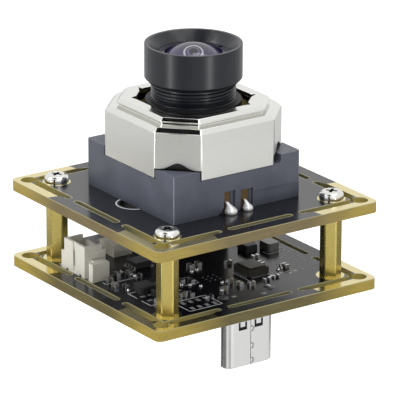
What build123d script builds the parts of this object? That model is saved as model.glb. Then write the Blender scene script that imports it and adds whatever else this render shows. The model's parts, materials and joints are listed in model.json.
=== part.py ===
from build123d import *
from math import sqrt
import os

# Two-board camera module with an autofocus lens, in millimetres.
# The origin is the middle of the main board's underside, +Z is the optical axis.

# boards
board_side = 38.0
board_thickness = 1.6
board_corner = 1.0
standoff_height = 10.0
frame_width = 2.0
corner_arm_width = 1.55
channel_width = 0.9
slot_end_sides = 8
small_round_sides = 10
middle_slot_length = 10.8
tab_width = 1.4
arm_flare_start = 0.3
arm_flare_length = 1.2
corner_hole_inset = 2.0
corner_hole_radius = 1.25
corner_mouth_width = 0.65
corner_mouth_length = 0.35
corner_mouth_taper = 0.4
screw_inset = 4.85
holder_hole_radius = 2.1
holder_hole_pitch = 20.4

# screws and standoffs
screw_radius = 1.0
screw_hole_radius = 1.1
screw_head_radius = 1.8
screw_head_height = 1.2
screw_head_sides = 12
screw_length = 5.0
screw_recess_width = 0.42
screw_recess_length = 1.9
screw_recess_depth = 0.6
thread_clearance = 0.02
standoff_across_flats = 2.8
standoff_edge_chamfer = 0.12

# lens thread, and the focus drive built outwards from it
thread_radius = 6.0
thread_fit = 0.01
carrier_wall = 1.4
collar_wall = 0.9
coil_thickness = 0.75
flange_rim = 0.05
magnet_gap = 0.6
magnet_room = 1.75
magnet_width = 8.4
cap_wall = 0.5
cap_fit = 0.05
travel = 0.4
flange_thickness = 0.9
spring_sheet = 0.1
spring_arm_width = 0.5
arm_overlap = 0.3
spring_bow = 0.3
spring_ring_width = 1.35
ring_sides = 16
frame_margin = 0.75
clamp_margin = 0.95
bore_margin = 0.45

# lens holder on the sensor board
holder_inset = 0.05
holder_wall_height = 5.6
holder_post_height = 6.95
holder_edge = 0.3
sensor_room_side = 12.0
web_low = 2.3
web_high = 3.4
window_radius = 4.7
filter_side = 10.6
filter_thickness = 0.4
filter_fit = 0.1
post_notch_radius = 0.6
post_notch_lift = 0.1
ledge_gap = 0.2
ledge_depth = 0.25
ledge_height = 2.4
scoop_radius = 0.9

# image chip under the filter
package_side = 9.4
package_height = 1.0
package_rim = 0.8
die_margin_x = 0.8
die_margin_y = 1.5
die_height = 0.25
cover_thickness = 0.3
cover_fit = 0.05
cover_seat = 0.15

# yoke cap
cap_corner = 4.7
cap_edge = 0.25
tier_inset = 1.5
tier_corner = 3.9
upright_edge = 0.2
opening_clearance = 0.45
opening_corner = 3.3
horn_start = 0.35
horn_reach = 0.4
horn_point = 0.65
horn_end = 0.75
far_horn_tip = 0.2
far_horn_reach = 1.0
cap_skirt_rise = 5.65
cap_arch_end_rise = 7.05
cap_arch_top_rise = 8.0
cap_arch_width = 5.4
cap_shoulder_rise = 13.0
cap_top_rise = 14.05
collar_drop = 0.2
shoulder_drop = 0.3

# coil terminals
terminal_spans = [(-2.25, -0.95), (0.9, 2.2)]
terminal_slots = [(-2.32, -0.39, 3.2), (0.56, 2.69, 3.0)]
terminal_depth = 0.5
terminal_sheet = 0.2
terminal_foot = 0.75
terminal_clearance = 0.05
solder_drops = [(-1.5, 0.95, 1.5, -1.8), (1.4, 0.78, 1.35, 1.65)]
solder_tip_radius = 0.22
solder_sides = 10
solder_reach = 0.3

# lens
head_wall = 1.0
head_length = 5.6
head_bevel = 0.65
neck_relief = 0.15
rim_wall = 0.5
hood_depth = 1.4
hood_rim = 0.69
barrel_length = 18.1
nose_clearance = 0.6
seat_width = 0.65
glass_radius = 4.45
glass_fit = 0.05
glass_rim = 1.15
rear_edge = 1.2
lower_spacer = 2.7
middle_edge = 1.4
upper_spacer = 2.2
glass_bulge = 0.5
front_glass_height = 3.7
dome_radius = 5.55
dome_drop = 0.1
hollow_depth = 1.2
ring_height = 0.45
ring_overlap = 0.3
ring_slot = 0.6

# plug under the main board
plug_edge_distance = 5.8
plug_width = 8.25
plug_depth = 2.4
plug_wall = 0.3
plug_tip = -9.05
latch_spacing = 2.75
latch_width = 1.45
latch_low = -3.45
latch_high = -2.25
latch_line = 0.32
plug_tip_chamfer = 0.2
plug_leg_hole = 0.65
seam_width = 0.07
seam_floor = 0.08
knob_radius = 0.42
knob_levels = (-3.5, -6.1, -8.3)
core_fit = 0.02
slot_width = 6.9
slot_height = 0.84
slot_depth = 5.95
core_recess = 0.5
contact_pitch = 0.5
contact_count = 12
contact_width = 0.22
contact_thickness = 0.22
contact_proud = 0.04
contact_fit = 0.02
leg_width = 0.9
leg_rise = 0.25
leg_solder_radius = 0.85
leg_solder_height = 0.22

# upright wire header at the -X edge
header_edge_distance = 3.07
header_depth = 3.63
header_low_y = 4.2
header_high_y = 9.55
header_height = 4.77
header_wall = 0.5
header_floor = 0.9
header_back_step = 0.65
header_back_drop = 0.78
header_slot = (6.68, 7.25)
header_slot_depth = 0.25
header_slot_rise = 0.3
header_window_rise = 1.1
header_window_drop = 1.3
ear_height = 2.75
ear_reach = 2.9
ear_gap = 1.05
near_ear_width = 1.05
near_web_inset = 1.0
far_ear_width = 0.75
foot_places = (0.9, 4.3)
foot_width = 0.5
foot_height = 0.35
header_pin_count = 4
header_pin_pitch = 1.25
header_pin_side = 0.4
header_pin_inset = 1.6
tab_inset = 0.25
tab_sheet = 0.22
tab_height = 2.2
near_tab_length = 0.72
far_tab_length = 2.0
near_tab_foot = 0.4
far_tab_foot = 0.9

# low header between the boards
low_header_x = -6.0
low_header_width = 3.2
low_header_low_y = 9.15
low_header_high_y = 13.0
low_header_height = 1.85
low_header_wall = 0.4
low_header_back = 1.05
low_pin_pitch = 1.0
low_pin_side = 0.3
low_pin_reach = 2.6

# board-to-board connector
stack_x = 6.0
stack_y = 9.0
stack_columns = 8
stack_pitch = 1.27
stack_width = 3.4
stack_end = 0.3
stack_socket_height = 5.6
stack_join_gap = 0.15
stack_pin_side = 0.4
stack_socket_hole = 0.6
stack_socket_floor = 0.6
stack_pin_rise = 2.6

# chips on the main board
processor_x = 5.5
processor_y = -6.75
processor_width = 3.5
processor_length = 3.9
processor_height = 1.0
processor_lid = 0.2
processor_lid_inset = 0.25
lead_count = 7
lead_pitch = 0.45
lead_width = 0.22
lead_reach = 0.35
lead_sheet = 0.05
memory_x = -6.5
memory_y = 4.4
memory_width = 2.6
memory_length = 2.8
memory_height = 1.0
memory_lead_count = 4
memory_lead_pitch = 0.7
memory_lead_width = 0.3
memory_lead_sheet = 0.12
memory_lead_reach = 0.55
memory_lead_rise = 0.5
crystal_x = 13.3
crystal_y = -0.4
crystal_width = 2.0
crystal_length = 2.6
crystal_height = 1.25
crystal_corner = 0.25
chip_edge = 0.12
inductor_side = 2.5
inductor_height = 1.1
inductor_corner = 0.3
power_chip_sizes = [(10.3, 0.9, 1.9, 2.3, 1.1), (-10.4, -7.2, 2.6, 1.7, 0.9), (-1.2, 12.2, 2.8, 2.8, 0.9)]
inductor_places = [(-11.6, -4.6), (13.1, 6.4)]

# small chip capacitors and resistors
chip_length = 1.05
chip_width = 0.6
capacitor_height = 0.55
resistor_height = 0.35
end_length = 0.25
end_plating = 0.02

# sizes that follow
corner_hole_pitch = board_side - 2 * corner_hole_inset
screw_pitch = board_side - 2 * screw_inset
channel_outer = board_side / 2 - frame_width
channel_inner = channel_outer - channel_width
arm_inner = board_side / 2 - corner_arm_width
carrier_radius = thread_radius + carrier_wall
collar_radius = thread_radius + collar_wall
coil_radius = carrier_radius + coil_thickness
flange_radius = coil_radius + flange_rim
magnet_radius = coil_radius + magnet_gap
cap_side = 2 * (magnet_radius + magnet_room + cap_wall)
holder_side = cap_side - 2 * holder_inset
holder_bore_radius = magnet_radius + bore_margin
tier_side = cap_side - 2 * tier_inset
opening_side = 2 * (collar_radius + opening_clearance)
head_radius = thread_radius + head_wall
clear_radius = glass_radius - glass_rim
seat_radius = glass_radius - seat_width
ring_bore_radius = glass_radius - ring_overlap
hood_floor_radius = glass_radius + hood_rim
plug_y = plug_edge_distance - board_side / 2
plug_leg_x = plug_width / 2 - plug_wall / 2
terminal_y = terminal_depth - holder_side / 2
header_x = header_edge_distance - board_side / 2
stack_half = stack_columns * stack_pitch / 2 + stack_end
spring_lift = travel + spring_bow

# heights that follow
main_top = board_thickness
sensor_bottom = main_top + standoff_height
sensor_top = sensor_bottom + board_thickness
cap_bottom = sensor_top + cap_skirt_rise
cap_shoulder = sensor_top + cap_shoulder_rise
cap_top = sensor_top + cap_top_rise
spring_level = sensor_top + holder_wall_height
carrier_bottom = spring_level + spring_lift + spring_sheet
carrier_shoulder = cap_shoulder - cap_wall - shoulder_drop
upper_spring_level = carrier_shoulder - spring_lift
winding_low = carrier_bottom + flange_thickness
winding_high = carrier_shoulder - flange_thickness
collar_top = cap_top - collar_drop
barrel_bottom = sensor_top + web_high + nose_clearance
rim_height = barrel_bottom + barrel_length
head_bottom = rim_height - head_length
hood_floor = rim_height - hood_depth
front_low = rim_height - dome_drop - front_glass_height
middle_low = front_low - upper_spacer - middle_edge
glass_seat = middle_low - lower_spacer - rear_edge
header_top = main_top + header_height
ear_top = main_top + ear_height
socket_top = main_top + stack_socket_height


def block(x_low, x_high, y_low, y_high, z_low, z_high):
    size = Box(x_high - x_low, y_high - y_low, z_high - z_low)
    return Pos((x_low + x_high) / 2, (y_low + y_high) / 2, (z_low + z_high) / 2) * size


def column(radius, z_low, z_high, x=0.0, y=0.0):
    return Pos(x, y, (z_low + z_high) / 2) * Cylinder(radius, z_high - z_low)


def prism(sketch, z_low, z_high):
    return Pos(0, 0, z_low) * extrude(sketch, amount=z_high - z_low)


def small_round(radius):
    """Hidden small rounds are many-sided, with their flats at the stated radius."""
    return RegularPolygon(radius, small_round_sides, major_radius=False)


def outline(points):
    return make_face(Polyline(points, close=True))


def octagon(side, corner):
    half = side / 2
    short = half - corner
    return outline(
        [
            (half, short),
            (short, half),
            (-short, half),
            (-half, short),
            (-half, -short),
            (-short, -half),
            (short, -half),
            (half, -short),
        ]
    )


def octagon_inset(side, corner, inset):
    """Octagon whose walls all lie one inset inside those of the given one."""
    inner_half = side / 2 - inset
    corner_plane = (side - corner) / sqrt(2) - inset
    inner_corner = 2 * inner_half - corner_plane * sqrt(2)
    return octagon(2 * inner_half, inner_corner)


def turned(points):
    return revolve(Plane.XZ * outline(points), Axis.Z)


def four_corners(pitch):
    half = pitch / 2
    return [(-half, -half), (half, -half), (half, half), (-half, half)]


def group(solids):
    return Compound(children=[part.solid() for part in solids])


def blunt_end(x, y):
    return Pos(x, y) * Rot(0, 0, 22.5) * RegularPolygon(channel_width / 2, slot_end_sides, major_radius=False)


def middle_slot():
    """Straight slot along the middle of one side."""
    middle = (channel_inner + channel_outer) / 2
    straight = (middle_slot_length - channel_width) / 2
    slot = Pos(0, middle) * Rectangle(2 * straight, channel_width)
    return slot + blunt_end(straight, middle) + blunt_end(-straight, middle)


def corner_slot():
    """Slot round one corner, wider beside the frame's slim arms, with a mouth each side of its hole."""
    middle = (channel_inner + channel_outer) / 2
    start = (middle_slot_length + channel_width) / 2 + tab_width
    flare_low = start + arm_flare_start
    flare_high = flare_low + arm_flare_length
    reach = corner_hole_pitch / 2
    mouth_side = channel_inner + corner_mouth_width
    meeting = reach - sqrt(corner_hole_radius**2 - (mouth_side - reach) ** 2)
    mouth_start = meeting - corner_mouth_length
    one_side = [
        (channel_inner, start),
        (channel_outer, start),
        (channel_outer, flare_low),
        (arm_inner, flare_high),
        (arm_inner, mouth_start - corner_mouth_taper),
        (mouth_side, mouth_start),
    ]
    other_side = [(y, x) for x, y in reversed(one_side)]
    bend = outline(one_side + [(mouth_side, mouth_side)] + other_side + [(channel_inner, channel_inner)])
    slot = bend + Pos(reach, reach) * Circle(corner_hole_radius)
    return slot + blunt_end(middle, start) + blunt_end(start, middle)


def bare_board(z_low):
    face = RectangleRounded(board_side, board_side, board_corner)
    for turn in range(4):
        face -= Rot(0, 0, 90 * turn) * middle_slot()
        face -= Rot(0, 0, 90 * turn) * corner_slot()
    face -= [Pos(x, y) * small_round(screw_hole_radius) for x, y in four_corners(screw_pitch)]
    return prism(face, z_low, z_low + board_thickness)


def main_board():
    board = bare_board(0.0)
    for side in (-1, 1):
        board -= Pos(side * plug_leg_x, plug_y, 0) * prism(small_round(plug_leg_hole), -1.0, main_top + 1.0)
    return board


def sensor_board():
    """Bare board with two round holes that the holder's walls half cover."""
    board = bare_board(sensor_bottom)
    for side in (-1, 1):
        board -= column(holder_hole_radius, sensor_bottom - 1, sensor_top + 1, side * holder_hole_pitch / 2)
    return board


def standoff(x, y, turn):
    """Hexagon bar with broken edges and a threaded bore right through."""
    bar = prism(RegularPolygon(standoff_across_flats / 2, 6, major_radius=False), main_top, sensor_bottom)
    bar = chamfer(bar.edges().filter_by(Axis.Z), standoff_edge_chamfer)
    bar -= prism(small_round(screw_radius + thread_clearance), main_top - 1, sensor_bottom + 1)
    return Pos(x, y, 0) * Rot(0, 0, turn) * bar


def standoffs():
    turns = [-35.0, -38.0, -33.0, -36.0]
    posts = []
    for (x, y), turn in zip(four_corners(screw_pitch), turns):
        posts.append(standoff(x, y, turn))
    return group(posts)


def pan_screw(x, y, seat, direction, turn):
    """Pan head with a cross recess, head on the far side of the board."""
    side_height = 0.5 * screw_head_height
    dome_height = screw_head_height - side_height
    shank = prism(small_round(screw_radius - thread_clearance), -screw_length, 0)
    head = extrude(RegularPolygon(screw_head_radius, screw_head_sides), amount=side_height)
    dome = extrude(RegularPolygon(screw_head_radius, screw_head_sides), amount=dome_height, taper=50)
    head += Pos(0, 0, side_height) * dome
    slot_low = screw_head_height - screw_recess_depth
    arm = screw_recess_length / 2
    half = screw_recess_width / 2
    head -= block(-arm, arm, -half, half, slot_low, screw_head_height + 1)
    head -= block(-half, half, -arm, arm, slot_low, screw_head_height + 1)
    screw = Rot(0, 0, turn) * (head + shank)
    if direction < 0:
        screw = Rot(180, 0, 0) * screw
    return Pos(x, y, seat) * screw


def top_screws():
    turns = [12.0, 40.0, 65.0, 28.0]
    corners = four_corners(screw_pitch)
    return group([pan_screw(x, y, sensor_top, 1, turn) for (x, y), turn in zip(corners, turns)])


def bottom_screws():
    turns = [30.0, 5.0, 50.0, 75.0]
    corners = four_corners(screw_pitch)
    return group([pan_screw(x, y, 0.0, -1, turn) for (x, y), turn in zip(corners, turns)])


def lens_holder():
    """Square moulded holder with four corner posts that stand outside the cap."""
    half = holder_side / 2
    wall_top = sensor_top + holder_wall_height
    post_top = sensor_top + holder_post_height
    body = prism(Rectangle(holder_side, holder_side), sensor_top, post_top)
    body = chamfer(body.edges().filter_by(Axis.Z), holder_edge)
    body -= prism(octagon(cap_side + holder_inset, cap_corner), wall_top, post_top + 1)
    body -= post_notch(half, wall_top, post_top)
    bore = RegularPolygon(holder_bore_radius, ring_sides, major_radius=False)
    body -= prism(bore, sensor_top + web_high, post_top + 1)
    room = sensor_room_side / 2
    body -= block(-room, room, -room, room, sensor_top - 1, sensor_top + web_low)
    seat = filter_side / 2 + filter_fit
    seat_top = sensor_top + web_low + filter_thickness + filter_fit / 2
    body -= block(-seat, seat, -seat, seat, sensor_top, seat_top)
    body -= column(window_radius, sensor_top, post_top)
    body -= terminal_cuts(half, wall_top)
    ledge_x = terminal_slots[1][1] + ledge_gap
    edge = -half + ledge_depth
    body -= block(ledge_x, half + 1, -half - 1, edge, sensor_top - 1, sensor_top + ledge_height)
    scoop_x = terminal_slots[0][0]
    corner = outline([(scoop_x, 0), (scoop_x, scoop_radius), (scoop_x - scoop_radius, 0)])
    body -= Pos(0, edge, sensor_top) * extrude(Plane.XZ * corner, amount=half)
    return body


def post_notch(half, wall_top, post_top):
    """Round-bottomed notch beside the cap in one post's outer wall."""
    radius = post_notch_radius
    x = cap_side / 2 - cap_corner + holder_inset + radius
    centre = wall_top + post_notch_lift + radius
    notch = Pos(x, -half, centre) * Rot(90, 0, 0) * Cylinder(radius, 4.0)
    return notch + block(x - radius, x + radius, -half - 1, -half + 2, centre, post_top + 1)


def terminal_cuts(half, wall_top):
    """Open pockets for the solder, and the slits the strips come down through."""
    cuts = []
    front = terminal_y - terminal_clearance
    back = terminal_y + terminal_sheet + terminal_clearance
    for x_low, x_high, height in terminal_slots:
        cuts.append(block(x_low, x_high, -half - 1, front, sensor_top - 1, sensor_top + height))
    for x_low, x_high in terminal_spans:
        left = x_low - terminal_clearance
        right = x_high + terminal_clearance
        cuts.append(block(left, right, front - 0.01, back, sensor_top - 1, wall_top + 1))
    return cuts


def ir_filter():
    half = filter_side / 2
    z_low = sensor_top + web_low
    return block(-half, half, -half, half, z_low, z_low + filter_thickness)


def image_sensor():
    """Ceramic package with a raised rim and the light-sensitive die in its floor."""
    half = package_side / 2
    well = half - package_rim
    floor = sensor_top + package_height / 2
    package = block(-half, half, -half, half, sensor_top, sensor_top + package_height)
    package -= block(-well, well, -well, well, floor, sensor_top + 2 * package_height)
    die_x = well - die_margin_x
    die_y = well - die_margin_y
    die = block(-die_x, die_x, -die_y, die_y, floor - 0.05, floor + die_height)
    return package + die


def sensor_glass():
    """Thin glass set into the package's rim above the die."""
    half = package_side / 2 - package_rim - cover_fit
    low = sensor_top + package_height - cover_seat
    return block(-half, half, -half, half, low, low + cover_thickness)


def cap_opening():
    """Eight-sided hole with a pair of small relief horns at two opposite corners."""
    half = opening_side / 2
    short = half - opening_corner
    start = short - horn_start
    end = (horn_end - half, short + horn_end)
    side_horn = [(-half, start), (-half - horn_reach, short + horn_point), end]
    end_horn = [(-start, half), (far_horn_tip - short, half + far_horn_reach), (-end[1], -end[0])]
    hole = octagon(opening_side, opening_corner)
    for horn in (side_horn, end_horn):
        hole += outline(horn)
        hole += outline([(y, x) for x, y in horn])
    return hole


def cap_block(side, corner, z_low, z_high):
    """Octagonal block with broken upright and top edges."""
    body = prism(octagon(side, corner), z_low, z_high)
    body = chamfer(body.edges().filter_by(Axis.Z), upright_edge)
    top = body.faces().sort_by(Axis.Z)[-1].edges()
    return chamfer(top, cap_edge)


def yoke_cap():
    """Drawn two-step cap with arched corner skirts and a stamped opening."""
    shell = cap_block(cap_side, cap_corner, cap_bottom, cap_shoulder)
    shell += cap_block(tier_side, tier_corner, cap_shoulder - cap_wall, cap_top)
    lower_room = octagon_inset(cap_side, cap_corner, cap_wall)
    shell -= prism(lower_room, cap_bottom - 1, cap_shoulder - cap_wall)
    upper_room = octagon_inset(tier_side, tier_corner, cap_wall)
    shell -= prism(upper_room, cap_bottom, cap_top - cap_wall)
    shell -= prism(cap_opening(), cap_shoulder, cap_top + 1)
    corner_plane = (cap_side - cap_corner) / sqrt(2)
    for turn in range(4):
        shell -= Rot(0, 0, 45 + 90 * turn) * Pos(corner_plane, 0, 0) * skirt_arch()
    return shell


def skirt_arch():
    """Cutter for a corner skirt: level ends and a low pointed arch between them."""
    end = cap_corner / sqrt(2) + 0.02
    level = sensor_top + cap_arch_end_rise
    rise = cap_arch_top_rise - cap_arch_end_rise
    half = cap_arch_width / 2
    left = Bezier((-half, level), (-half / 2, level), (-half / 3, level + rise), (0, level + rise))
    right = Bezier((0, level + rise), (half / 3, level + rise), (half / 2, level), (half, level))
    edges = Curve() + [
        left,
        right,
        Polyline((half, level), (end, level), (end, cap_bottom - 1), (-end, cap_bottom - 1), (-end, level), (-half, level)),
    ]
    return extrude(Plane.YZ * make_face(edges), amount=1.5, both=True)


def magnets():
    """Four magnets that fill the cap's corners around the coil."""
    inner = octagon_inset(cap_side, cap_corner, cap_wall + cap_fit)
    z_low = spring_level + spring_sheet
    pieces = []
    for turn in range(4):
        span = Rot(0, 0, 45) * Pos(cap_side / 2, 0) * Rectangle(cap_side, magnet_width)
        piece = prism(inner & span, z_low, upper_spring_level)
        piece -= column(magnet_radius, z_low - 1, upper_spring_level + 1)
        pieces.append(Rot(0, 0, 90 * turn) * piece)
    return group(pieces)


def lens_carrier():
    """Bobbin that holds the lens thread and carries the coil."""
    return turned(
        [
            (thread_radius, carrier_bottom),
            (flange_radius, carrier_bottom),
            (flange_radius, winding_low),
            (carrier_radius, winding_low),
            (carrier_radius, winding_high),
            (flange_radius, winding_high),
            (flange_radius, carrier_shoulder),
            (collar_radius, carrier_shoulder),
            (collar_radius, collar_top),
            (thread_radius, collar_top),
        ]
    )


def focus_coil():
    low = winding_low + cap_fit
    high = winding_high - cap_fit
    ring = column(coil_radius, low, high)
    return ring - column(carrier_radius + thread_fit, low - 1, high + 1)


def leaf_spring(frame_level, ring_inner):
    """Flat frame held by the housing, raised inner ring and four sloping arms."""
    frame_radius = magnet_radius + frame_margin
    ring_outer = ring_inner + spring_ring_width
    frame = octagon_inset(cap_side, cap_corner, cap_wall + cap_fit)
    frame -= RegularPolygon(frame_radius, ring_sides, major_radius=False)
    spring = prism(frame, frame_level, frame_level + spring_sheet)
    ring_level = frame_level + spring_lift
    ring = RegularPolygon(ring_outer, ring_sides, major_radius=False) - Circle(ring_inner)
    spring += prism(ring, ring_level, ring_level + spring_sheet)
    for turn in range(4):
        profile = outline(
            [
                (ring_outer - arm_overlap, ring_level),
                (frame_radius + arm_overlap, frame_level),
                (frame_radius + arm_overlap, frame_level + spring_sheet),
                (ring_outer - arm_overlap, ring_level + spring_sheet),
            ]
        )
        arm = extrude(Plane.XZ * profile, amount=spring_arm_width / 2, both=True)
        spring += Rot(0, 0, 90 * turn) * arm
    return spring


def lower_spring():
    return leaf_spring(spring_level, thread_radius + 0.2)


def upper_spring():
    return leaf_spring(upper_spring_level, collar_radius + 0.1)


def spring_clamp():
    """Moulded ring that presses the upper spring's frame onto the magnets."""
    ring = octagon_inset(cap_side, cap_corner, cap_wall + cap_fit)
    ring -= RegularPolygon(magnet_radius + clamp_margin, ring_sides, major_radius=False)
    return prism(ring, upper_spring_level + spring_sheet, cap_shoulder - cap_wall)


def coil_terminals():
    """Two bronze strips that come down the holder's wall to the board."""
    strips = []
    for x_low, x_high in terminal_spans:
        back = terminal_y + terminal_sheet
        strip = block(x_low, x_high, terminal_y, back, sensor_top, spring_level - 0.02)
        foot_y = terminal_y - terminal_foot
        foot = block(x_low, x_high, foot_y, back, sensor_top, sensor_top + terminal_sheet)
        strips.append(strip + foot)
    return group(strips)


def terminal_solder():
    """Leaning solder cones that tie the two strips to their pads."""
    drops = []
    foot_edge = terminal_y - terminal_foot
    y = foot_edge - solder_reach
    tip_y = terminal_y - terminal_clearance - solder_tip_radius
    for x, radius, height, tip_x in solder_drops:
        base = Pos(x, y, sensor_top) * RegularPolygon(radius, solder_sides)
        tip = Pos(tip_x, tip_y, sensor_top + height) * RegularPolygon(solder_tip_radius, solder_sides)
        drop = loft([base, tip], ruled=True)
        drop -= block(-cap_side, cap_side, foot_edge - 0.01, 0, 0, sensor_top + terminal_sheet + 0.01)
        drop -= block(-cap_side, cap_side, terminal_y - 0.01, 0, 0, cap_top)
        drops.append(drop)
    return group(drops)


def lens_barrel():
    """Stepped barrel: bevelled head with a flared hood and a long threaded neck."""
    ring_seat = hood_floor - ring_height
    return turned(
        [
            (seat_radius, barrel_bottom),
            (thread_radius - thread_fit, barrel_bottom),
            (thread_radius - thread_fit, collar_top + neck_relief),
            (thread_radius - neck_relief, collar_top + neck_relief),
            (thread_radius - neck_relief, head_bottom),
            (head_radius - head_bevel, head_bottom),
            (head_radius, head_bottom + head_bevel),
            (head_radius, rim_height),
            (head_radius - rim_wall, rim_height),
            (hood_floor_radius, hood_floor),
            (hood_floor_radius, ring_seat),
            (glass_radius + glass_fit, ring_seat),
            (glass_radius + glass_fit, glass_seat),
            (seat_radius, glass_seat),
        ]
    )


def front_element():
    """Strongly domed front glass with a hollow back."""
    low = front_low
    top = rim_height - dome_drop
    centre = top - dome_radius
    edge_top = centre + sqrt(dome_radius**2 - glass_radius**2)
    middle_r = 0.55 * glass_radius
    middle_z = centre + sqrt(dome_radius**2 - middle_r**2)
    profile = Curve() + [
        ThreePointArc((0, top), (middle_r, middle_z), (glass_radius, edge_top)),
        Polyline((glass_radius, edge_top), (glass_radius, low), (clear_radius, low)),
        Line((clear_radius, low), (0.6 * clear_radius, low + 0.7 * hollow_depth)),
        Polyline((0.6 * clear_radius, low + 0.7 * hollow_depth), (0, low + hollow_depth), (0, top)),
    ]
    return revolve(Plane.XZ * make_face(profile), Axis.Z)


def inner_glass(low, edge, bulge_below):
    """Round glass with flat rims for its spacers and shallow bulges between them."""
    high = low + edge
    return turned(
        [
            (0, low - bulge_below),
            (clear_radius, low),
            (glass_radius, low),
            (glass_radius, high),
            (clear_radius, high),
            (0, high + glass_bulge),
        ]
    )


def middle_element():
    return inner_glass(middle_low, middle_edge, glass_bulge)


def rear_element():
    high = glass_seat + rear_edge
    return turned(
        [
            (0, glass_seat),
            (glass_radius, glass_seat),
            (glass_radius, high),
            (clear_radius, high),
            (0, high + glass_bulge),
        ]
    )


def lens_spacers():
    rings = []
    for z_low, z_high in ((glass_seat + rear_edge, middle_low), (middle_low + middle_edge, front_low)):
        face = RegularPolygon(glass_radius, ring_sides) - RegularPolygon(clear_radius + 0.1, ring_sides)
        rings.append(prism(face, z_low, z_high))
    return group(rings)


def retaining_ring():
    """Flat black ring that holds the front glass in the barrel."""
    low = hood_floor - ring_height
    high = hood_floor - 0.05
    ring = column(hood_floor_radius - thread_fit, low, high)
    ring -= column(ring_bore_radius, low - 1, high + 1)
    slot_x = (ring_bore_radius + hood_floor_radius) / 2
    half = ring_slot / 2
    for side in (-1, 1):
        x = side * slot_x
        ring -= block(x - half, x + half, -half, half, high - ring_height / 2, high + 1)
    return ring


def stadium(width, depth):
    return Pos(0, plug_y) * SlotOverall(width, depth)


def seam_cut():
    """Hairline joint down the shell's face, with three keyed knobs."""
    front = plug_y - plug_depth / 2
    high = front + plug_wall - seam_floor
    cuts = [block(-seam_width / 2, seam_width / 2, front - 0.5, high, plug_tip - 1, 0)]
    core = RegularPolygon(knob_radius - seam_width, 8, major_radius=False)
    knob = RegularPolygon(knob_radius, 8, major_radius=False) - core
    for z in knob_levels:
        loop = extrude(Plane.XZ * knob, amount=plug_depth, both=True)
        loop = Pos(knob_radius / 2, front, z) * loop
        cuts.append(loop & block(0, 3, front - 0.5, high, plug_tip - 1, 0))
    return cuts


def plug_shell():
    """Rolled steel shell with latch windows, a keyed seam and two board legs."""
    outer = prism(stadium(plug_width, plug_depth), plug_tip, 0.0)
    tip = outer.faces().sort_by(Axis.Z)[0].edges()
    outer = chamfer(tip, plug_tip_chamfer)
    room = stadium(plug_width - 2 * plug_wall, plug_depth - 2 * plug_wall)
    outer -= prism(room, plug_tip - 1, 1.0)
    for side in (-1, 1):
        outer -= latch_window(side * latch_spacing / 2)
    outer -= seam_cut()
    half_leg = leg_width / 2
    for side in (-1, 1):
        x = side * plug_leg_x
        half = plug_wall / 2
        top = main_top + leg_rise
        outer += block(x - half, x + half, plug_y - half_leg, plug_y + half_leg, -plug_wall, top)
    return outer


def latch_window(middle):
    """U-shaped cut through both faces that leaves a spring tongue."""
    left = middle - latch_width / 2
    right = middle + latch_width / 2
    front = plug_y - plug_depth / 2
    back = plug_y + plug_depth / 2
    cuts = []
    for y_low, y_high in ((front - 1, front + 1.3 * plug_wall), (back - 1.3 * plug_wall, back + 1)):
        cuts.append(block(left, left + latch_line, y_low, y_high, latch_low, latch_high))
        cuts.append(block(right - latch_line, right, y_low, y_high, latch_low, latch_high))
        cuts.append(block(left, right, y_low, y_high, latch_low, latch_low + 0.5))
    return cuts


def contact_places():
    return [(index - (contact_count - 1) / 2) * contact_pitch for index in range(contact_count)]


def plug_core():
    """Insulator around the slot that takes the socket's tongue."""
    inset = 2 * (plug_wall + core_fit)
    low = plug_tip + core_recess
    core = prism(stadium(plug_width - inset, plug_depth - inset), low, -core_fit)
    half_slot = slot_height / 2
    half_width = slot_width / 2
    core -= block(-half_width, half_width, plug_y - half_slot, plug_y + half_slot, plug_tip, low + slot_depth)
    groove = half_slot - contact_proud + contact_thickness + contact_fit
    half = contact_width / 2 + contact_fit
    for x in contact_places():
        core -= block(x - half, x + half, plug_y - groove, plug_y + groove, plug_tip, low + slot_depth)
    return core


def plug_contacts():
    """Two rows of spring strips along the walls of the slot."""
    strips = []
    low = plug_tip + 2 * core_recess
    top = plug_tip + core_recess + slot_depth - contact_fit
    near = slot_height / 2 - contact_proud
    far = near + contact_thickness
    half = contact_width / 2
    for x in contact_places():
        strips.append(block(x - half, x + half, plug_y - far, plug_y - near, low, top))
        strips.append(block(x - half, x + half, plug_y + near, plug_y + far, low, top))
    return group(strips)


def plug_solder():
    """Solder collars where the plug's legs come through the board."""
    collars = []
    for side in (-1, 1):
        collar = extrude(RegularPolygon(leg_solder_radius, solder_sides), amount=leg_solder_height, taper=50)
        room = plug_wall / 2 + 0.01
        length = leg_width / 2 + 0.01
        collar -= block(-room, room, -length, length, -1, 1)
        collars.append(Pos(side * plug_leg_x, plug_y, main_top) * collar)
    return group(collars)


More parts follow.
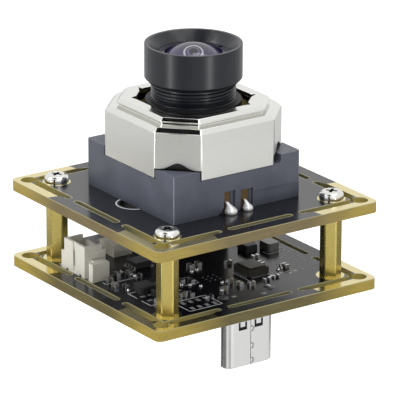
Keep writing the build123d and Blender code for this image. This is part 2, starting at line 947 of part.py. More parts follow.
def wire_header():
    """Upright header: tall slotted front wall, lower back wall and two ears."""
    x_low = header_x
    x_high = header_x + header_depth
    y_low = header_low_y
    y_high = header_high_y
    wall = header_wall
    step_x = x_high - header_back_step
    body = block(x_low, step_x, y_low, y_high, main_top, header_top)
    body += block(step_x, x_high, y_low, y_high, main_top, header_top - header_back_drop)
    floor = main_top + header_floor
    body -= block(x_low + wall, x_high - wall, y_low + wall, y_high - wall, floor, header_top + 1)
    slot_low, slot_high = header_slot
    groove = x_low + header_slot_depth
    body -= block(x_low - 1, groove, slot_low, slot_high, main_top + header_slot_rise, header_top + 1)
    window_low = main_top + header_window_rise
    window_high = header_top - header_window_drop
    body -= block(x_low - 1, x_low + 1.2 * wall, slot_low, slot_high, window_low, window_high)
    ear_end = x_low + ear_reach
    ear_edge = y_low - ear_gap
    web_x = x_low + near_web_inset
    body += block(x_low, ear_end, ear_edge - near_ear_width, ear_edge, main_top, ear_top)
    body += block(web_x, ear_end, ear_edge, y_low, main_top, ear_top)
    body += block(x_low, ear_end, y_high, y_high + far_ear_width, main_top, ear_top)
    for place in foot_places:
        foot_y = y_low + place
        body -= block(x_low - 1, x_low + wall, foot_y, foot_y + foot_width, main_top - 1, main_top + foot_height)
    return body


def wire_header_pins():
    """Row of square posts standing in the header."""
    pins = []
    middle = (header_low_y + header_high_y) / 2
    half = header_pin_side / 2
    x = header_x + header_pin_inset
    low = main_top + header_floor + 0.01
    top = header_top - header_window_drop
    for index in range(header_pin_count):
        y = middle + (index - (header_pin_count - 1) / 2) * header_pin_pitch
        pins.append(block(x, x + header_pin_side, y - half, y + half, low, top))
    return group(pins)


def wire_header_tabs():
    """Fitting tabs: one in the near ear's gap, one beside the far ear."""
    x = header_x + tab_inset
    top = main_top + tab_height
    near_y = header_low_y - ear_gap + 0.2
    near_end = x + near_tab_length
    near = block(x, near_end, near_y, near_y + tab_sheet, main_top, top)
    near += block(x, near_end, near_y, near_y + tab_sheet + near_tab_foot, main_top, main_top + tab_sheet)
    far_y = header_high_y + far_ear_width + 0.01
    far_end = x + far_tab_length
    far = block(x, far_end, far_y, far_y + tab_sheet, main_top, top)
    far += block(x, far_end, far_y, far_y + far_tab_foot, main_top, main_top + tab_sheet)
    return group([near, far])


def low_header():
    """Low side-entry header whose mouth faces the +Y edge."""
    x_low = low_header_x - low_header_width / 2
    x_high = low_header_x + low_header_width / 2
    wall = low_header_wall
    body = block(x_low, x_high, low_header_low_y, low_header_high_y, main_top, main_top + low_header_height)
    room_y = low_header_low_y + low_header_back
    z_high = main_top + low_header_height - wall
    return body - block(x_low + wall, x_high - wall, room_y, low_header_high_y + 1, main_top + wall, z_high)


def low_header_pins():
    pins = []
    half = low_pin_side / 2
    start = low_header_low_y + low_header_back + 0.01
    middle = main_top + low_header_height / 2
    for side in (-1, 1):
        x = low_header_x + side * low_pin_pitch / 2
        pins.append(block(x - half, x + half, start, start + low_pin_reach, middle - half, middle + half))
    return group(pins)


def stack_points():
    points = []
    for row in (-1, 1):
        for index in range(stack_columns):
            x = stack_x + (index - (stack_columns - 1) / 2) * stack_pitch
            points.append((x, stack_y + row * stack_pitch / 2))
    return points


def stack_block(z_low, z_high, hole, hole_low):
    """One half of the connector: a bar with a square hole for each pin."""
    y_low = stack_y - stack_width / 2
    body = block(stack_x - stack_half, stack_x + stack_half, y_low, y_low + stack_width, z_low, z_high)
    half = hole / 2
    for x, y in stack_points():
        body -= block(x - half, x + half, y - half, y + half, hole_low, z_high + 1)
    return body


def stack_socket():
    """Two-row socket on the main board that takes the sensor board's pins."""
    return stack_block(main_top, socket_top, stack_socket_hole, main_top + stack_socket_floor)


def stack_plug():
    low = socket_top + stack_join_gap
    return stack_block(low, sensor_bottom, stack_pin_side, low - 1)


def stack_pins():
    pins = []
    half = stack_pin_side / 2
    low = main_top + stack_pin_rise
    for x, y in stack_points():
        pins.append(block(x - half, x + half, y - half, y + half, low, sensor_bottom - 0.01))
    return group(pins)


def main_processor():
    """Square chip package with a bevelled lid."""
    body = Pos(0, 0, processor_height / 2) * Box(processor_width, processor_length, processor_height)
    inset = 2 * processor_lid_inset
    lid_face = Rectangle(processor_width - inset, processor_length - inset)
    lid = Pos(0, 0, processor_height) * extrude(lid_face, amount=processor_lid, taper=30)
    return Pos(processor_x, processor_y, main_top + lead_sheet) * (body + lid)


def side_leads(half_width, half_length):
    """Flat leads along the two ends of a package that lies centred on the origin."""
    leads = []
    half = lead_width / 2
    for index in range(lead_count):
        shift = (index - (lead_count - 1) / 2) * lead_pitch
        for low in (half_length - lead_reach, -half_length - lead_reach):
            leads.append(block(shift - half, shift + half, low, low + 2 * lead_reach, 0, lead_sheet))
    return leads


def processor_leads():
    """Flat leads along all four sides of the processor."""
    place = Pos(processor_x, processor_y, main_top)
    leads = [place * lead for lead in side_leads(processor_width / 2, processor_length / 2)]
    leads += [place * Rot(0, 0, 90) * lead for lead in side_leads(processor_length / 2, processor_width / 2)]
    return group(leads)


def chip_package(x, y, width, length, low, high):
    body = block(x - width / 2, x + width / 2, y - length / 2, y + length / 2, low, high)
    return chamfer(body.faces().sort_by(Axis.Z)[-1].edges(), chip_edge)


def memory_chip():
    low = main_top + memory_lead_sheet - 0.02
    return chip_package(memory_x, memory_y, memory_width, memory_length, low, main_top + memory_height)


def memory_leads():
    """Gull-wing leads on the two long sides of the memory chip."""
    leads = []
    half = memory_lead_width / 2
    for index in range(memory_lead_count):
        y = memory_y + (index - (memory_lead_count - 1) / 2) * memory_lead_pitch
        for side in (-1, 1):
            edge = memory_x + side * (memory_width / 2 + 0.01)
            low, high = sorted((edge, edge + side * memory_lead_reach))
            lead = block(low, high, y - half, y + half, main_top, main_top + memory_lead_sheet)
            low, high = sorted((edge, edge + side * memory_lead_sheet))
            lead += block(low, high, y - half, y + half, main_top, main_top + memory_lead_rise)
            leads.append(lead)
    return group(leads)


def cornered_block(x, y, width, length, height, corner):
    body = block(x - width / 2, x + width / 2, y - length / 2, y + length / 2, main_top, main_top + height)
    return chamfer(body.edges().filter_by(Axis.Z), corner)


def crystal_can():
    return cornered_block(crystal_x, crystal_y, crystal_width, crystal_length, crystal_height, crystal_corner)


def power_chips():
    """Small regulator and driver packages on the main board."""
    chips = []
    for x, y, width, length, height in power_chip_sizes:
        chips.append(chip_package(x, y, width, length, main_top, main_top + height))
    return group(chips)


def power_inductors():
    """Two square power inductors with broken corners."""
    side = inductor_side
    places = inductor_places
    return group([cornered_block(x, y, side, side, inductor_height, inductor_corner) for x, y in places])


capacitor_places = [
    (0.3, -8.8, 0),
    (-2.1, -10.7, 0),
    (0.9, -10.4, 90),
    (2.3, -11.3, 0),
    (-0.7, -0.3, 90),
    (0.7, -0.3, 90),
    (-13.6, 1.4, 0),
    (-11.4, 2.7, 90),
    (-9.6, 2.3, 90),
    (-14.0, -0.8, 90),
    (-8.3, -9.4, 0),
    (10.6, -8.1, 90),
    (9.2, -2.6, 0),
    (4.6, -2.3, 0),
    (-3.3, 6.2, 90),
    (-12.6, -9.6, 0),
]
resistor_places = [
    (-5.0, -4.3, 90),
    (-3.8, -5.1, 90),
    (-6.9, -9.4, 90),
    (-12.9, -1.9, 90),
    (-9.0, 0.9, 0),
    (5.3, -10.9, 0),
    (7.1, -10.6, 0),
    (-5.4, -11.9, 0),
    (8.6, -4.9, 90),
    (-1.9, 2.4, 0),
    (12.9, 3.6, 0),
    (-8.8, -3.9, 90),
]
under_places = [(6.3, -10.2, 0), (8.1, -10.2, 0), (-9.5, 11.5, 90), (-11.2, 11.5, 90), (10.5, 2.0, 0), (-10.8, -2.0, 90)]


def chip_body(x, y, turn, height, seat):
    half = chip_length / 2 - end_length
    body = block(-half, half, -chip_width / 2, chip_width / 2, 0, height)
    return Pos(x, y, seat) * Rot(0, 0, turn) * body


def chip_ends(x, y, turn, height, seat):
    ends = []
    half = chip_width / 2 + end_plating
    for side in (-1, 1):
        inner = side * (chip_length / 2 - end_length)
        outer = side * chip_length / 2
        low, high = sorted((inner, outer))
        end = block(low, high, -half, half, 0, height + end_plating)
        ends.append(Pos(x, y, seat) * Rot(0, 0, turn) * end)
    return ends


def capacitors():
    return group([chip_body(x, y, turn, capacitor_height, main_top) for x, y, turn in capacitor_places])


def resistors():
    return group([chip_body(x, y, turn, resistor_height, main_top) for x, y, turn in resistor_places])


def chip_end_caps():
    ends = []
    for x, y, turn in capacitor_places:
        ends += chip_ends(x, y, turn, capacitor_height, main_top)
    for x, y, turn in resistor_places:
        ends += chip_ends(x, y, turn, resistor_height, main_top)
    return group(ends)


def under_capacitors():
    """Capacitors below the sensor board, with their metal ends."""
    seat = sensor_bottom - capacitor_height - end_plating
    return group([chip_body(x, y, turn, capacitor_height, seat) for x, y, turn in under_places])


def under_end_caps():
    seat = sensor_bottom - capacitor_height - end_plating
    ends = []
    for x, y, turn in under_places:
        ends += chip_ends(x, y, turn, capacitor_height, seat)
    return group(ends)


parts = {
    "main_board": main_board,
    "sensor_board": sensor_board,
    "standoffs": standoffs,
    "top_screws": top_screws,
    "bottom_screws": bottom_screws,
    "lens_holder": lens_holder,
    "ir_filter": ir_filter,
    "image_sensor": image_sensor,
    "sensor_glass": sensor_glass,
    "yoke_cap": yoke_cap,
    "magnets": magnets,
    "lens_carrier": lens_carrier,
    "focus_coil": focus_coil,
    "lower_spring": lower_spring,
    "upper_spring": upper_spring,
    "spring_clamp": spring_clamp,
    "coil_terminals": coil_terminals,
    "terminal_solder": terminal_solder,
    "lens_barrel": lens_barrel,
    "front_element": front_element,
    "middle_element": middle_element,
    "rear_element": rear_element,
    "lens_spacers": lens_spacers,
    "retaining_ring": retaining_ring,
    "plug_shell": plug_shell,
    "plug_core": plug_core,
    "plug_contacts": plug_contacts,
    "plug_solder": plug_solder,
    "wire_header": wire_header,
    "wire_header_pins": wire_header_pins,
    "wire_header_tabs": wire_header_tabs,
    "low_header": low_header,
    "low_header_pins": low_header_pins,
    "stack_socket": stack_socket,
    "stack_plug": stack_plug,
    "stack_pins": stack_pins,
    "main_processor": main_processor,
    "processor_leads": processor_leads,
    "memory_chip": memory_chip,
    "memory_leads": memory_leads,
    "crystal_can": crystal_can,
    "power_chips": power_chips,
    "power_inductors": power_inductors,
    "capacitors": capacitors,
    "resistors": resistors,
    "chip_end_caps": chip_end_caps,
    "under_capacitors": under_capacitors,
    "under_end_caps": under_end_caps,
}

os.makedirs("parts", exist_ok=True)
for name, build in parts.items():
    export_step(build(), f"parts/{name}.step")
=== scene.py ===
import json
import math

import bpy
from mathutils import Matrix, Vector

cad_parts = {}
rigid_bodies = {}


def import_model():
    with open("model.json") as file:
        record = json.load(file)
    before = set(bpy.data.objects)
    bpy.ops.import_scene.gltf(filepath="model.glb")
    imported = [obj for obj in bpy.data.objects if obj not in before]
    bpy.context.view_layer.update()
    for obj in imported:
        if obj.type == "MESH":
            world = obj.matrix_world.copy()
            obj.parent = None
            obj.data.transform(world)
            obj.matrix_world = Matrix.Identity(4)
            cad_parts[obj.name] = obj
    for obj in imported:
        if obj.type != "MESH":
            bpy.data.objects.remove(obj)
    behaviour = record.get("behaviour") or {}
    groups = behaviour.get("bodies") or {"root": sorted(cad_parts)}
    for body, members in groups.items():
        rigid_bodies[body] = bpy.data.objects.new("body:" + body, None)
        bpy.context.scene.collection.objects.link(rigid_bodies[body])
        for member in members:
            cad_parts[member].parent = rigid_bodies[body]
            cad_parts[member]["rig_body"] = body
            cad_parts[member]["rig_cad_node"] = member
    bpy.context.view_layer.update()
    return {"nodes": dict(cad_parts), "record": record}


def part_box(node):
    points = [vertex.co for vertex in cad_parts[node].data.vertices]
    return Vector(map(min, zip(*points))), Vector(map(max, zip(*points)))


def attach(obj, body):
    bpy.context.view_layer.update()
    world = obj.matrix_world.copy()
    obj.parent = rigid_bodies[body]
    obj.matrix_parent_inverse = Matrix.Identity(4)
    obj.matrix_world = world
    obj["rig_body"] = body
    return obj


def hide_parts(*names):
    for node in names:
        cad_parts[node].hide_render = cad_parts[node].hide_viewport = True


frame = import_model()
nodes = frame["nodes"]
slot_of = {entry["node"]: entry["material_slot"] for entry in frame["record"]["subparts"]}

# Sizes and places are in millimetres unless a comment says otherwise. The main board lies on z = 0.

MM = 0.001
MAIN_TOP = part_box("main_board")[1].z / MM
BOARD_THICK = MAIN_TOP
SENSOR_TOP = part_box("sensor_board")[1].z / MM
BOARD_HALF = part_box("main_board")[1].x / MM
HOLDER_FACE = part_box("lens_holder")[1].x / MM
CAP_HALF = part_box("yoke_cap")[1].x / MM
PLUG_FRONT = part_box("plug_shell")[0].y / MM

# The boards' corners, bare arms, slots, screws and the hole beside the holder
BOARD_CORNER = 1.0
ARM_WIDTH = 1.55
ARM_START = 8.95
ARM_SLANT = 0.2
SLOT_CENTRE = 16.55
SLOT_HALF = 0.45
SLOT_FLARE = 0.3
MIDDLE_SLOT_END = 4.95
CORNER_SLOT_START = 7.25
SCREW_STEP = 14.15
SCREW_PAD_RADIUS = 2.05
HOLDER_HOLE_X = 10.2
HOLDER_HOLE_REACH = 2.13


# Small helpers


def from_srgb(red, green, blue):
    """A colour as it is seen on a screen, from 0 to 255, in the linear values that shaders take."""

    def linear(part):
        part = part / 255
        return part / 12.92 if part <= 0.04045 else ((part + 0.055) / 1.055) ** 2.4

    return (linear(red), linear(green), linear(blue), 1.0)


def toned(colour, share):
    """The same colour, darker or paler."""
    return tuple(min(1.0, part * share) for part in colour[:3]) + (1.0,)


def deselect():
    bpy.ops.object.select_all(action="DESELECT")


def activate(thing):
    """Makes one object the only selected one, and the active one."""
    deselect()
    thing.select_set(True)
    bpy.context.view_layer.objects.active = thing


def rename(piece, name):
    piece.name = name
    piece.data.name = name


def dress(piece, material):
    piece.data.materials.clear()
    piece.data.materials.append(material)


def settle():
    """Moves the active object's place, turn and scale into its mesh."""
    bpy.ops.object.transform_apply(location=True, rotation=True, scale=True)


def pick(piece, test):
    """Opens a piece for editing with the vertices selected that pass the test, in millimetres."""
    bpy.ops.object.mode_set(mode="EDIT")
    bpy.ops.mesh.select_mode(type="VERT")
    bpy.ops.mesh.select_all(action="DESELECT")
    bpy.ops.object.mode_set(mode="OBJECT")
    for vertex in piece.data.vertices:
        vertex.select = test(vertex.co / MM)
    bpy.ops.object.mode_set(mode="EDIT")


# Steps that the shaders are made of


def math_node(tree, operation, first, second=None, third=None, clamp=False):
    node = tree.nodes.new("ShaderNodeMath")
    node.operation = operation
    node.use_clamp = clamp
    for slot, value in zip(node.inputs, (first, second, third)):
        if value is None:
            continue
        if isinstance(value, (int, float)):
            slot.default_value = value
        else:
            tree.links.new(value, slot)
    return node.outputs[0]


def absolute(tree, value):
    return math_node(tree, "ABSOLUTE", value)


def above(tree, value, limit):
    return math_node(tree, "GREATER_THAN", value, limit * MM)


def below(tree, value, limit):
    return math_node(tree, "LESS_THAN", value, limit * MM)


def both(tree, first, second):
    return math_node(tree, "MULTIPLY", first, second)


def either(tree, first, second):
    return math_node(tree, "MAXIMUM", first, second)


def near_value(tree, value, wanted, reach):
    """Where a value is within reach of the wanted one."""
    return below(tree, absolute(tree, math_node(tree, "SUBTRACT", value, wanted * MM)), reach)


def ramp(tree, value, start, end):
    """Goes from 0 where the value is start to 1 where it is end."""
    past = math_node(tree, "SUBTRACT", value, start * MM)
    return math_node(tree, "MULTIPLY", past, 1 / ((end - start) * MM), clamp=True)


def hypotenuse(tree, across, along):
    across = math_node(tree, "MULTIPLY", across, across)
    along = math_node(tree, "MULTIPLY", along, along)
    return math_node(tree, "SQRT", math_node(tree, "ADD", across, along))


def circle_distance(tree, across, along, x, y):
    """How far a point is from (x, y), in metres."""
    dx = math_node(tree, "SUBTRACT", across, x * MM)
    dy = math_node(tree, "SUBTRACT", along, y * MM)
    return hypotenuse(tree, dx, dy)


def object_position(tree):
    place = tree.nodes.new("ShaderNodeTexCoord")
    split = tree.nodes.new("ShaderNodeSeparateXYZ")
    tree.links.new(place.outputs["Object"], split.inputs[0])
    return place.outputs["Object"], split.outputs


def folded(tree, split):
    """X and Y without their signs, for what repeats in the four quarters of the part."""
    return absolute(tree, split["X"]), absolute(tree, split["Y"])


def noise_value(tree, place, scale, detail, stretch=None):
    noise = tree.nodes.new("ShaderNodeTexNoise")
    noise.inputs["Detail"].default_value = detail
    if isinstance(scale, (int, float)):
        noise.inputs["Scale"].default_value = scale
    else:
        tree.links.new(scale, noise.inputs["Scale"])
    if stretch:
        mapping = tree.nodes.new("ShaderNodeMapping")
        mapping.inputs["Scale"].default_value = stretch
        tree.links.new(place, mapping.inputs["Vector"])
        place = mapping.outputs[0]
    tree.links.new(place, noise.inputs["Vector"])
    return noise.outputs["Fac"]


def mix_colour(tree, factor, first, second):
    node = tree.nodes.new("ShaderNodeMix")
    node.data_type = "RGBA"
    tree.links.new(factor, node.inputs[0])
    for slot, value in ((node.inputs[6], first), (node.inputs[7], second)):
        if isinstance(value, tuple):
            slot.default_value = value
        else:
            tree.links.new(value, slot)
    return node.outputs[2]


def mix_value(tree, factor, first, second):
    node = tree.nodes.new("ShaderNodeMix")
    node.data_type = "FLOAT"
    tree.links.new(factor, node.inputs[0])
    for slot, value in ((node.inputs[2], first), (node.inputs[3], second)):
        if isinstance(value, (int, float)):
            slot.default_value = value
        else:
            tree.links.new(value, slot)
    return node.outputs[0]


# Shader groups shared by several finishes

# A point this near a wall, or this near a board's face, counts as on it
WALL_SKIN = 0.02
FACE_SKIN = 0.0015
SLOT_RIM_WIDTH = 0.11
# Where along a board's edge its colour starts to turn to the corner's, and where it has turned
CORNER_FADE = (7.0, 15.0)


def new_group(name, inputs, outputs):
    """An empty group: the inputs with their values, and the names of the outputs, all numbers."""
    group = bpy.data.node_groups.new(name, "ShaderNodeTree")
    for label, value in inputs.items():
        socket = group.interface.new_socket(label, in_out="INPUT", socket_type="NodeSocketFloat")
        socket.default_value = value
    for label in outputs:
        group.interface.new_socket(label, in_out="OUTPUT", socket_type="NodeSocketFloat")
    entry = group.nodes.new("NodeGroupInput")
    leave = group.nodes.new("NodeGroupOutput")
    return group, entry, leave


def surface_grain_group():
    """Fine unevenness: a roughness value and a height for tone and bump."""
    inputs = {"Scale": 2000.0, "Base": 0.3, "Spread": 0.1}
    group, entry, leave = new_group("surface_grain", inputs, ("Roughness", "Height"))
    place, _ = object_position(group)
    height = noise_value(group, place, entry.outputs["Scale"], detail=3.0)
    centred = math_node(group, "SUBTRACT", height, 0.5)
    spread, base = entry.outputs["Spread"], entry.outputs["Base"]
    rough = math_node(group, "MULTIPLY_ADD", centred, spread, base, clamp=True)
    group.links.new(rough, leave.inputs["Roughness"])
    group.links.new(height, leave.inputs["Height"])
    return group


def slot_rim(tree, beyond, far):
    """Thin line of bare laminate along the edge of a slot that ends where beyond is 0."""
    past = math_node(tree, "MAXIMUM", beyond, 0.0)
    aside = math_node(tree, "SUBTRACT", far, SLOT_CENTRE * MM)
    return below(tree, hypotenuse(tree, past, aside), SLOT_HALF + SLOT_RIM_WIDTH)


def board_zones_group():
    """Masks of a board: faces, bare gold, corner edges, outer walls, the hole's wall that gets painted shade,
    and slot rims.
    """
    labels = ("Face", "Gold", "Corner", "Outside", "HoleShade", "Rim")
    group, entry, leave = new_group("board_zones", {"Middle": 0.0}, labels)
    _, split = object_position(group)
    lift = absolute(group, math_node(group, "SUBTRACT", split["Z"], entry.outputs["Middle"]))
    face = above(group, lift, BOARD_THICK / 2 - FACE_SKIN)
    x, y = folded(group, split)
    far = math_node(group, "MAXIMUM", x, y)
    near = math_node(group, "MINIMUM", x, y)

    frame_arm = above(group, far, BOARD_HALF - ARM_WIDTH - WALL_SKIN)
    slant = math_node(group, "MULTIPLY_ADD", far, -ARM_SLANT, near)
    corner_arm = above(group, slant, ARM_START - ARM_SLANT * BOARD_HALF)
    screw_pad = below(group, circle_distance(group, x, y, SCREW_STEP, SCREW_STEP), SCREW_PAD_RADIUS)
    gold = either(group, both(group, frame_arm, corner_arm), screw_pad)

    round_start = BOARD_HALF - BOARD_CORNER
    straight_wall = above(group, far, BOARD_HALF - WALL_SKIN)
    round_edge = circle_distance(group, x, y, round_start, round_start)
    round_wall = above(group, round_edge, BOARD_CORNER - WALL_SKIN)
    in_corner = above(group, near, round_start)
    hole_edge = circle_distance(group, x, y, HOLDER_HOLE_X, 0.0)

    middle_rim = slot_rim(group, math_node(group, "SUBTRACT", near, MIDDLE_SLOT_END * MM), far)
    corner_rim = slot_rim(group, math_node(group, "SUBTRACT", CORNER_SLOT_START * MM, near), far)
    inner_half = below(group, far, SLOT_CENTRE)
    before_flare = below(group, near, CORNER_SLOT_START + SLOT_FLARE)
    corner_rim = both(group, corner_rim, either(group, inner_half, before_flare))

    masks = {
        "Face": face,
        "Gold": both(group, gold, face),
        "Corner": ramp(group, near, *CORNER_FADE),
        "Outside": either(group, straight_wall, both(group, round_wall, in_corner)),
        "HoleShade": below(group, hole_edge, HOLDER_HOLE_REACH),
        "Rim": both(group, either(group, middle_rim, corner_rim), face),
    }
    for label, value in masks.items():
        group.links.new(value, leave.inputs[label])
    return group


grain = surface_grain_group()
zones = board_zones_group()


# Finishes

# Grain's scale, the height of its bump, and the share by which it makes a colour darker and paler
GRAIN_SCALE = 3000.0
GRAIN_DEPTH = 0.05
TONE_GRAIN = 0.12
# The laminate's layers, seen on a board's edge as a noise that is drawn out sideways
LAYER_SCALE = 900.0
LAYER_DETAIL = 4.0
LAYER_STRETCH = (0.3, 0.3, 4.0)
# Painted highlight: a pale line along a board's upper edge
ARRIS = 0.1
LAMINATE_ROUGH = 0.5
MASK_ROUGH = 0.2
GOLD_ROUGH = 0.2
GOLD_METALLIC = 0.95
# The screw's head, the reach of its cross recess and the depth from which the recess gets painted shade
HEAD_HEIGHT = 1.2
RECESS_REACH = 1.02
RECESS_SHADE_FROM = 0.05
# The cap is polished above the first level, fully from the second, and duller down to its foot
CAP_POLISH_START = 25.35
CAP_POLISH_FULL = 25.6
CAP_FOOT = 19.29
POLISHED_ROUGH = 0.1
WALL_ROUGH = 0.27
FOOT_ROUGH = 0.42
# Distance from the lens's axis over which the front glass turns violet
GLASS_TINT = (1.5, 4.28)
# Painted reflection on the front glass: its place, then the radius and half width of two pale rings, and a
# dark pupil
PAINTED_REFLECTION = (-1.34, -1.92)
OUTER_RING = (1.3, 0.14)
INNER_RING = (0.8, 0.1)
PUPIL_RADIUS = 0.45
# Levels, radius and half width of the keyed seam in the plug's shell
SEAM_KNOBS = (-3.5, -6.1, -8.3)
KNOB_RADIUS = 0.42
SEAM_HALF = 0.05
# The holder gets painted shade up to this height, by this share, and a painted highlight this wide along its
# upright edges
HOLDER_SHADE_HEIGHT = 1.25
HOLDER_SHADE_SHARE = 0.45
EDGE_HIGHLIGHT_WIDTH = 0.2


def new_material(name):
    made = bpy.data.materials.new(name)
    made.use_nodes = True
    return made, made.node_tree, made.node_tree.nodes["Principled BSDF"]


def add_grain(tree, shader, roughness, spread, scale=GRAIN_SCALE, bump=0.0):
    """Grain in the gloss and, where asked, in the surface. Returns the grain's height."""
    node = tree.nodes.new("ShaderNodeGroup")
    node.node_tree = grain
    node.inputs["Scale"].default_value = scale
    node.inputs["Base"].default_value = roughness
    node.inputs["Spread"].default_value = spread
    tree.links.new(node.outputs["Roughness"], shader.inputs["Roughness"])
    if bump:
        relief = tree.nodes.new("ShaderNodeBump")
        relief.inputs["Strength"].default_value = bump
        relief.inputs["Distance"].default_value = GRAIN_DEPTH * MM
        tree.links.new(node.outputs["Height"], relief.inputs["Height"])
        tree.links.new(relief.outputs["Normal"], shader.inputs["Normal"])
    return node.outputs["Height"]


def finish(
    name, colour, roughness, metallic=0.0, spread=0.0, scale=GRAIN_SCALE, bump=0.0, clear=0.0, ior=1.5
):
    """A finish with fine grain in its colour and gloss and, where asked, in its surface."""
    made, tree, shader = new_material(name)
    shader.inputs["Base Color"].default_value = colour
    shader.inputs["Roughness"].default_value = roughness
    shader.inputs["Metallic"].default_value = metallic
    shader.inputs["Transmission Weight"].default_value = clear
    shader.inputs["IOR"].default_value = ior
    if spread:
        height = add_grain(tree, shader, roughness, spread, scale, bump)
        tone = mix_colour(tree, height, toned(colour, 1 - TONE_GRAIN), toned(colour, 1 + TONE_GRAIN))
        tree.links.new(tone, shader.inputs["Base Color"])
    return made


def board_finish(name, middle, gloss, edge_dark, edge_pale):
    """Black solder mask, bare gold at the corners and an olive laminate edge."""
    made, tree, shader = new_material(name)
    zone = tree.nodes.new("ShaderNodeGroup")
    zone.node_tree = zones
    zone.inputs["Middle"].default_value = middle * MM
    place, split = object_position(tree)
    layers = noise_value(tree, place, LAYER_SCALE, LAYER_DETAIL, LAYER_STRETCH)
    middle_edge = mix_colour(tree, layers, edge_dark, edge_pale)
    corner_edge = mix_colour(tree, layers, from_srgb(146, 126, 50), from_srgb(190, 168, 78))
    outer_edge = mix_colour(tree, zone.outputs["Corner"], middle_edge, corner_edge)
    slot_edge = mix_colour(tree, layers, from_srgb(92, 88, 64), from_srgb(140, 136, 104))
    plated_edge = mix_colour(tree, layers, from_srgb(146, 130, 58), from_srgb(194, 178, 98))
    slot_edge = mix_colour(tree, zone.outputs["Corner"], slot_edge, plated_edge)
    laminate = mix_colour(tree, zone.outputs["Outside"], slot_edge, outer_edge)
    # Painted highlight: pale line along the board's upper edge
    arris_highlight = above(tree, split["Z"], middle + BOARD_THICK / 2 - ARRIS)
    laminate = mix_colour(tree, arris_highlight, laminate, from_srgb(184, 176, 130))
    # Painted shade: the hole's wall under the holder is coloured near black
    laminate = mix_colour(tree, zone.outputs["HoleShade"], laminate, from_srgb(20, 19, 18))
    faces = mix_colour(tree, zone.outputs["Face"], laminate, from_srgb(17, 18, 24))
    faces = mix_colour(tree, zone.outputs["Rim"], faces, from_srgb(180, 174, 134))
    colour = mix_colour(tree, zone.outputs["Gold"], faces, from_srgb(224, 211, 158))
    tree.links.new(colour, shader.inputs["Base Color"])
    rough = mix_value(tree, zone.outputs["Face"], LAMINATE_ROUGH, MASK_ROUGH)
    rough = mix_value(tree, zone.outputs["Gold"], rough, GOLD_ROUGH)
    tree.links.new(rough, shader.inputs["Roughness"])
    metal = math_node(tree, "MULTIPLY", zone.outputs["Gold"], GOLD_METALLIC)
    tree.links.new(metal, shader.inputs["Metallic"])
    shader.inputs["Specular IOR Level"].default_value = gloss
    return made


def screw_finish():
    """Bright nickel, darkened by painted shade down in the cross recess."""
    made, tree, shader = new_material("screw_nickel")
    _, split = object_position(tree)
    x, y = folded(tree, split)
    inside = below(tree, circle_distance(tree, x, y, SCREW_STEP, SCREW_STEP), RECESS_REACH)
    middle = SENSOR_TOP / 2
    sunk = near_value(tree, split["Z"], middle, middle + HEAD_HEIGHT - RECESS_SHADE_FROM)
    recess = both(tree, inside, sunk)
    # Painted shade: the cross recess is coloured dark
    colour = mix_colour(tree, recess, from_srgb(226, 225, 220), from_srgb(58, 54, 48))
    tree.links.new(colour, shader.inputs["Base Color"])
    shader.inputs["Metallic"].default_value = 1.0
    add_grain(tree, shader, roughness=0.12, spread=0.06)
    return made


def cap_finish():
    """Nickel plate, satin on the drawn walls and polished where the press rounds them."""
    made, tree, shader = new_material("drawn_nickel")
    _, split = object_position(tree)
    shader.inputs["Base Color"].default_value = from_srgb(224, 224, 220)
    shader.inputs["Metallic"].default_value = 1.0
    rounded = ramp(tree, split["Z"], CAP_POLISH_START, CAP_POLISH_FULL)
    low = ramp(tree, split["Z"], CAP_POLISH_START, CAP_FOOT)
    wall = mix_value(tree, math_node(tree, "MULTIPLY", low, low), WALL_ROUGH, FOOT_ROUGH)
    tree.links.new(mix_value(tree, rounded, wall, POLISHED_ROUGH), shader.inputs["Roughness"])
    return made


def front_glass_finish():
    """Coated front element: violet towards the rim, near black in the middle, with a painted reflection of
    two pale rings round a dark pupil.
    """
    made, tree, shader = new_material("front_glass")
    _, split = object_position(tree)
    reach = circle_distance(tree, split["X"], split["Y"], 0.0, 0.0)
    tint_and_reflection = mix_colour(tree, ramp(tree, reach, *GLASS_TINT), from_srgb(22, 18, 40), from_srgb(66, 54, 112))
    reflected = circle_distance(tree, split["X"], split["Y"], *PAINTED_REFLECTION)
    # Painted reflection: a dark pupil and two pale rings laid over the coating's tint
    tint_and_reflection = mix_colour(tree, below(tree, reflected, PUPIL_RADIUS), tint_and_reflection, from_srgb(8, 8, 12))
    tint_and_reflection = mix_colour(tree, near_value(tree, reflected, *INNER_RING), tint_and_reflection, from_srgb(104, 101, 120))
    tint_and_reflection = mix_colour(tree, near_value(tree, reflected, *OUTER_RING), tint_and_reflection, from_srgb(178, 177, 188))
    tree.links.new(tint_and_reflection, shader.inputs["Base Color"])
    shader.inputs["Roughness"].default_value = 0.03
    shader.inputs["IOR"].default_value = 1.75
    return made


def plug_finish():
    """Satin plated sheet with the dark line of its keyed seam."""
    made, tree, shader = new_material("plug_plating")
    _, split = object_position(tree)
    line = near_value(tree, split["X"], 0.0, SEAM_HALF)
    right_side = above(tree, split["X"], 0.0)
    for level in SEAM_KNOBS:
        knob = circle_distance(tree, split["X"], split["Z"], 0.0, level)
        outside = math_node(tree, "SUBTRACT", 1.0, below(tree, knob, KNOB_RADIUS - SEAM_HALF))
        rim = near_value(tree, knob, KNOB_RADIUS, SEAM_HALF)
        line = either(tree, both(tree, line, outside), both(tree, rim, right_side))
    seam = both(tree, line, below(tree, split["Y"], PLUG_FRONT + WALL_SKIN))
    colour = mix_colour(tree, seam, from_srgb(228, 228, 227), from_srgb(92, 92, 94))
    tree.links.new(colour, shader.inputs["Base Color"])
    shader.inputs["Metallic"].default_value = 1.0
    add_grain(tree, shader, roughness=0.2, spread=0.06, scale=1200.0)
    return made


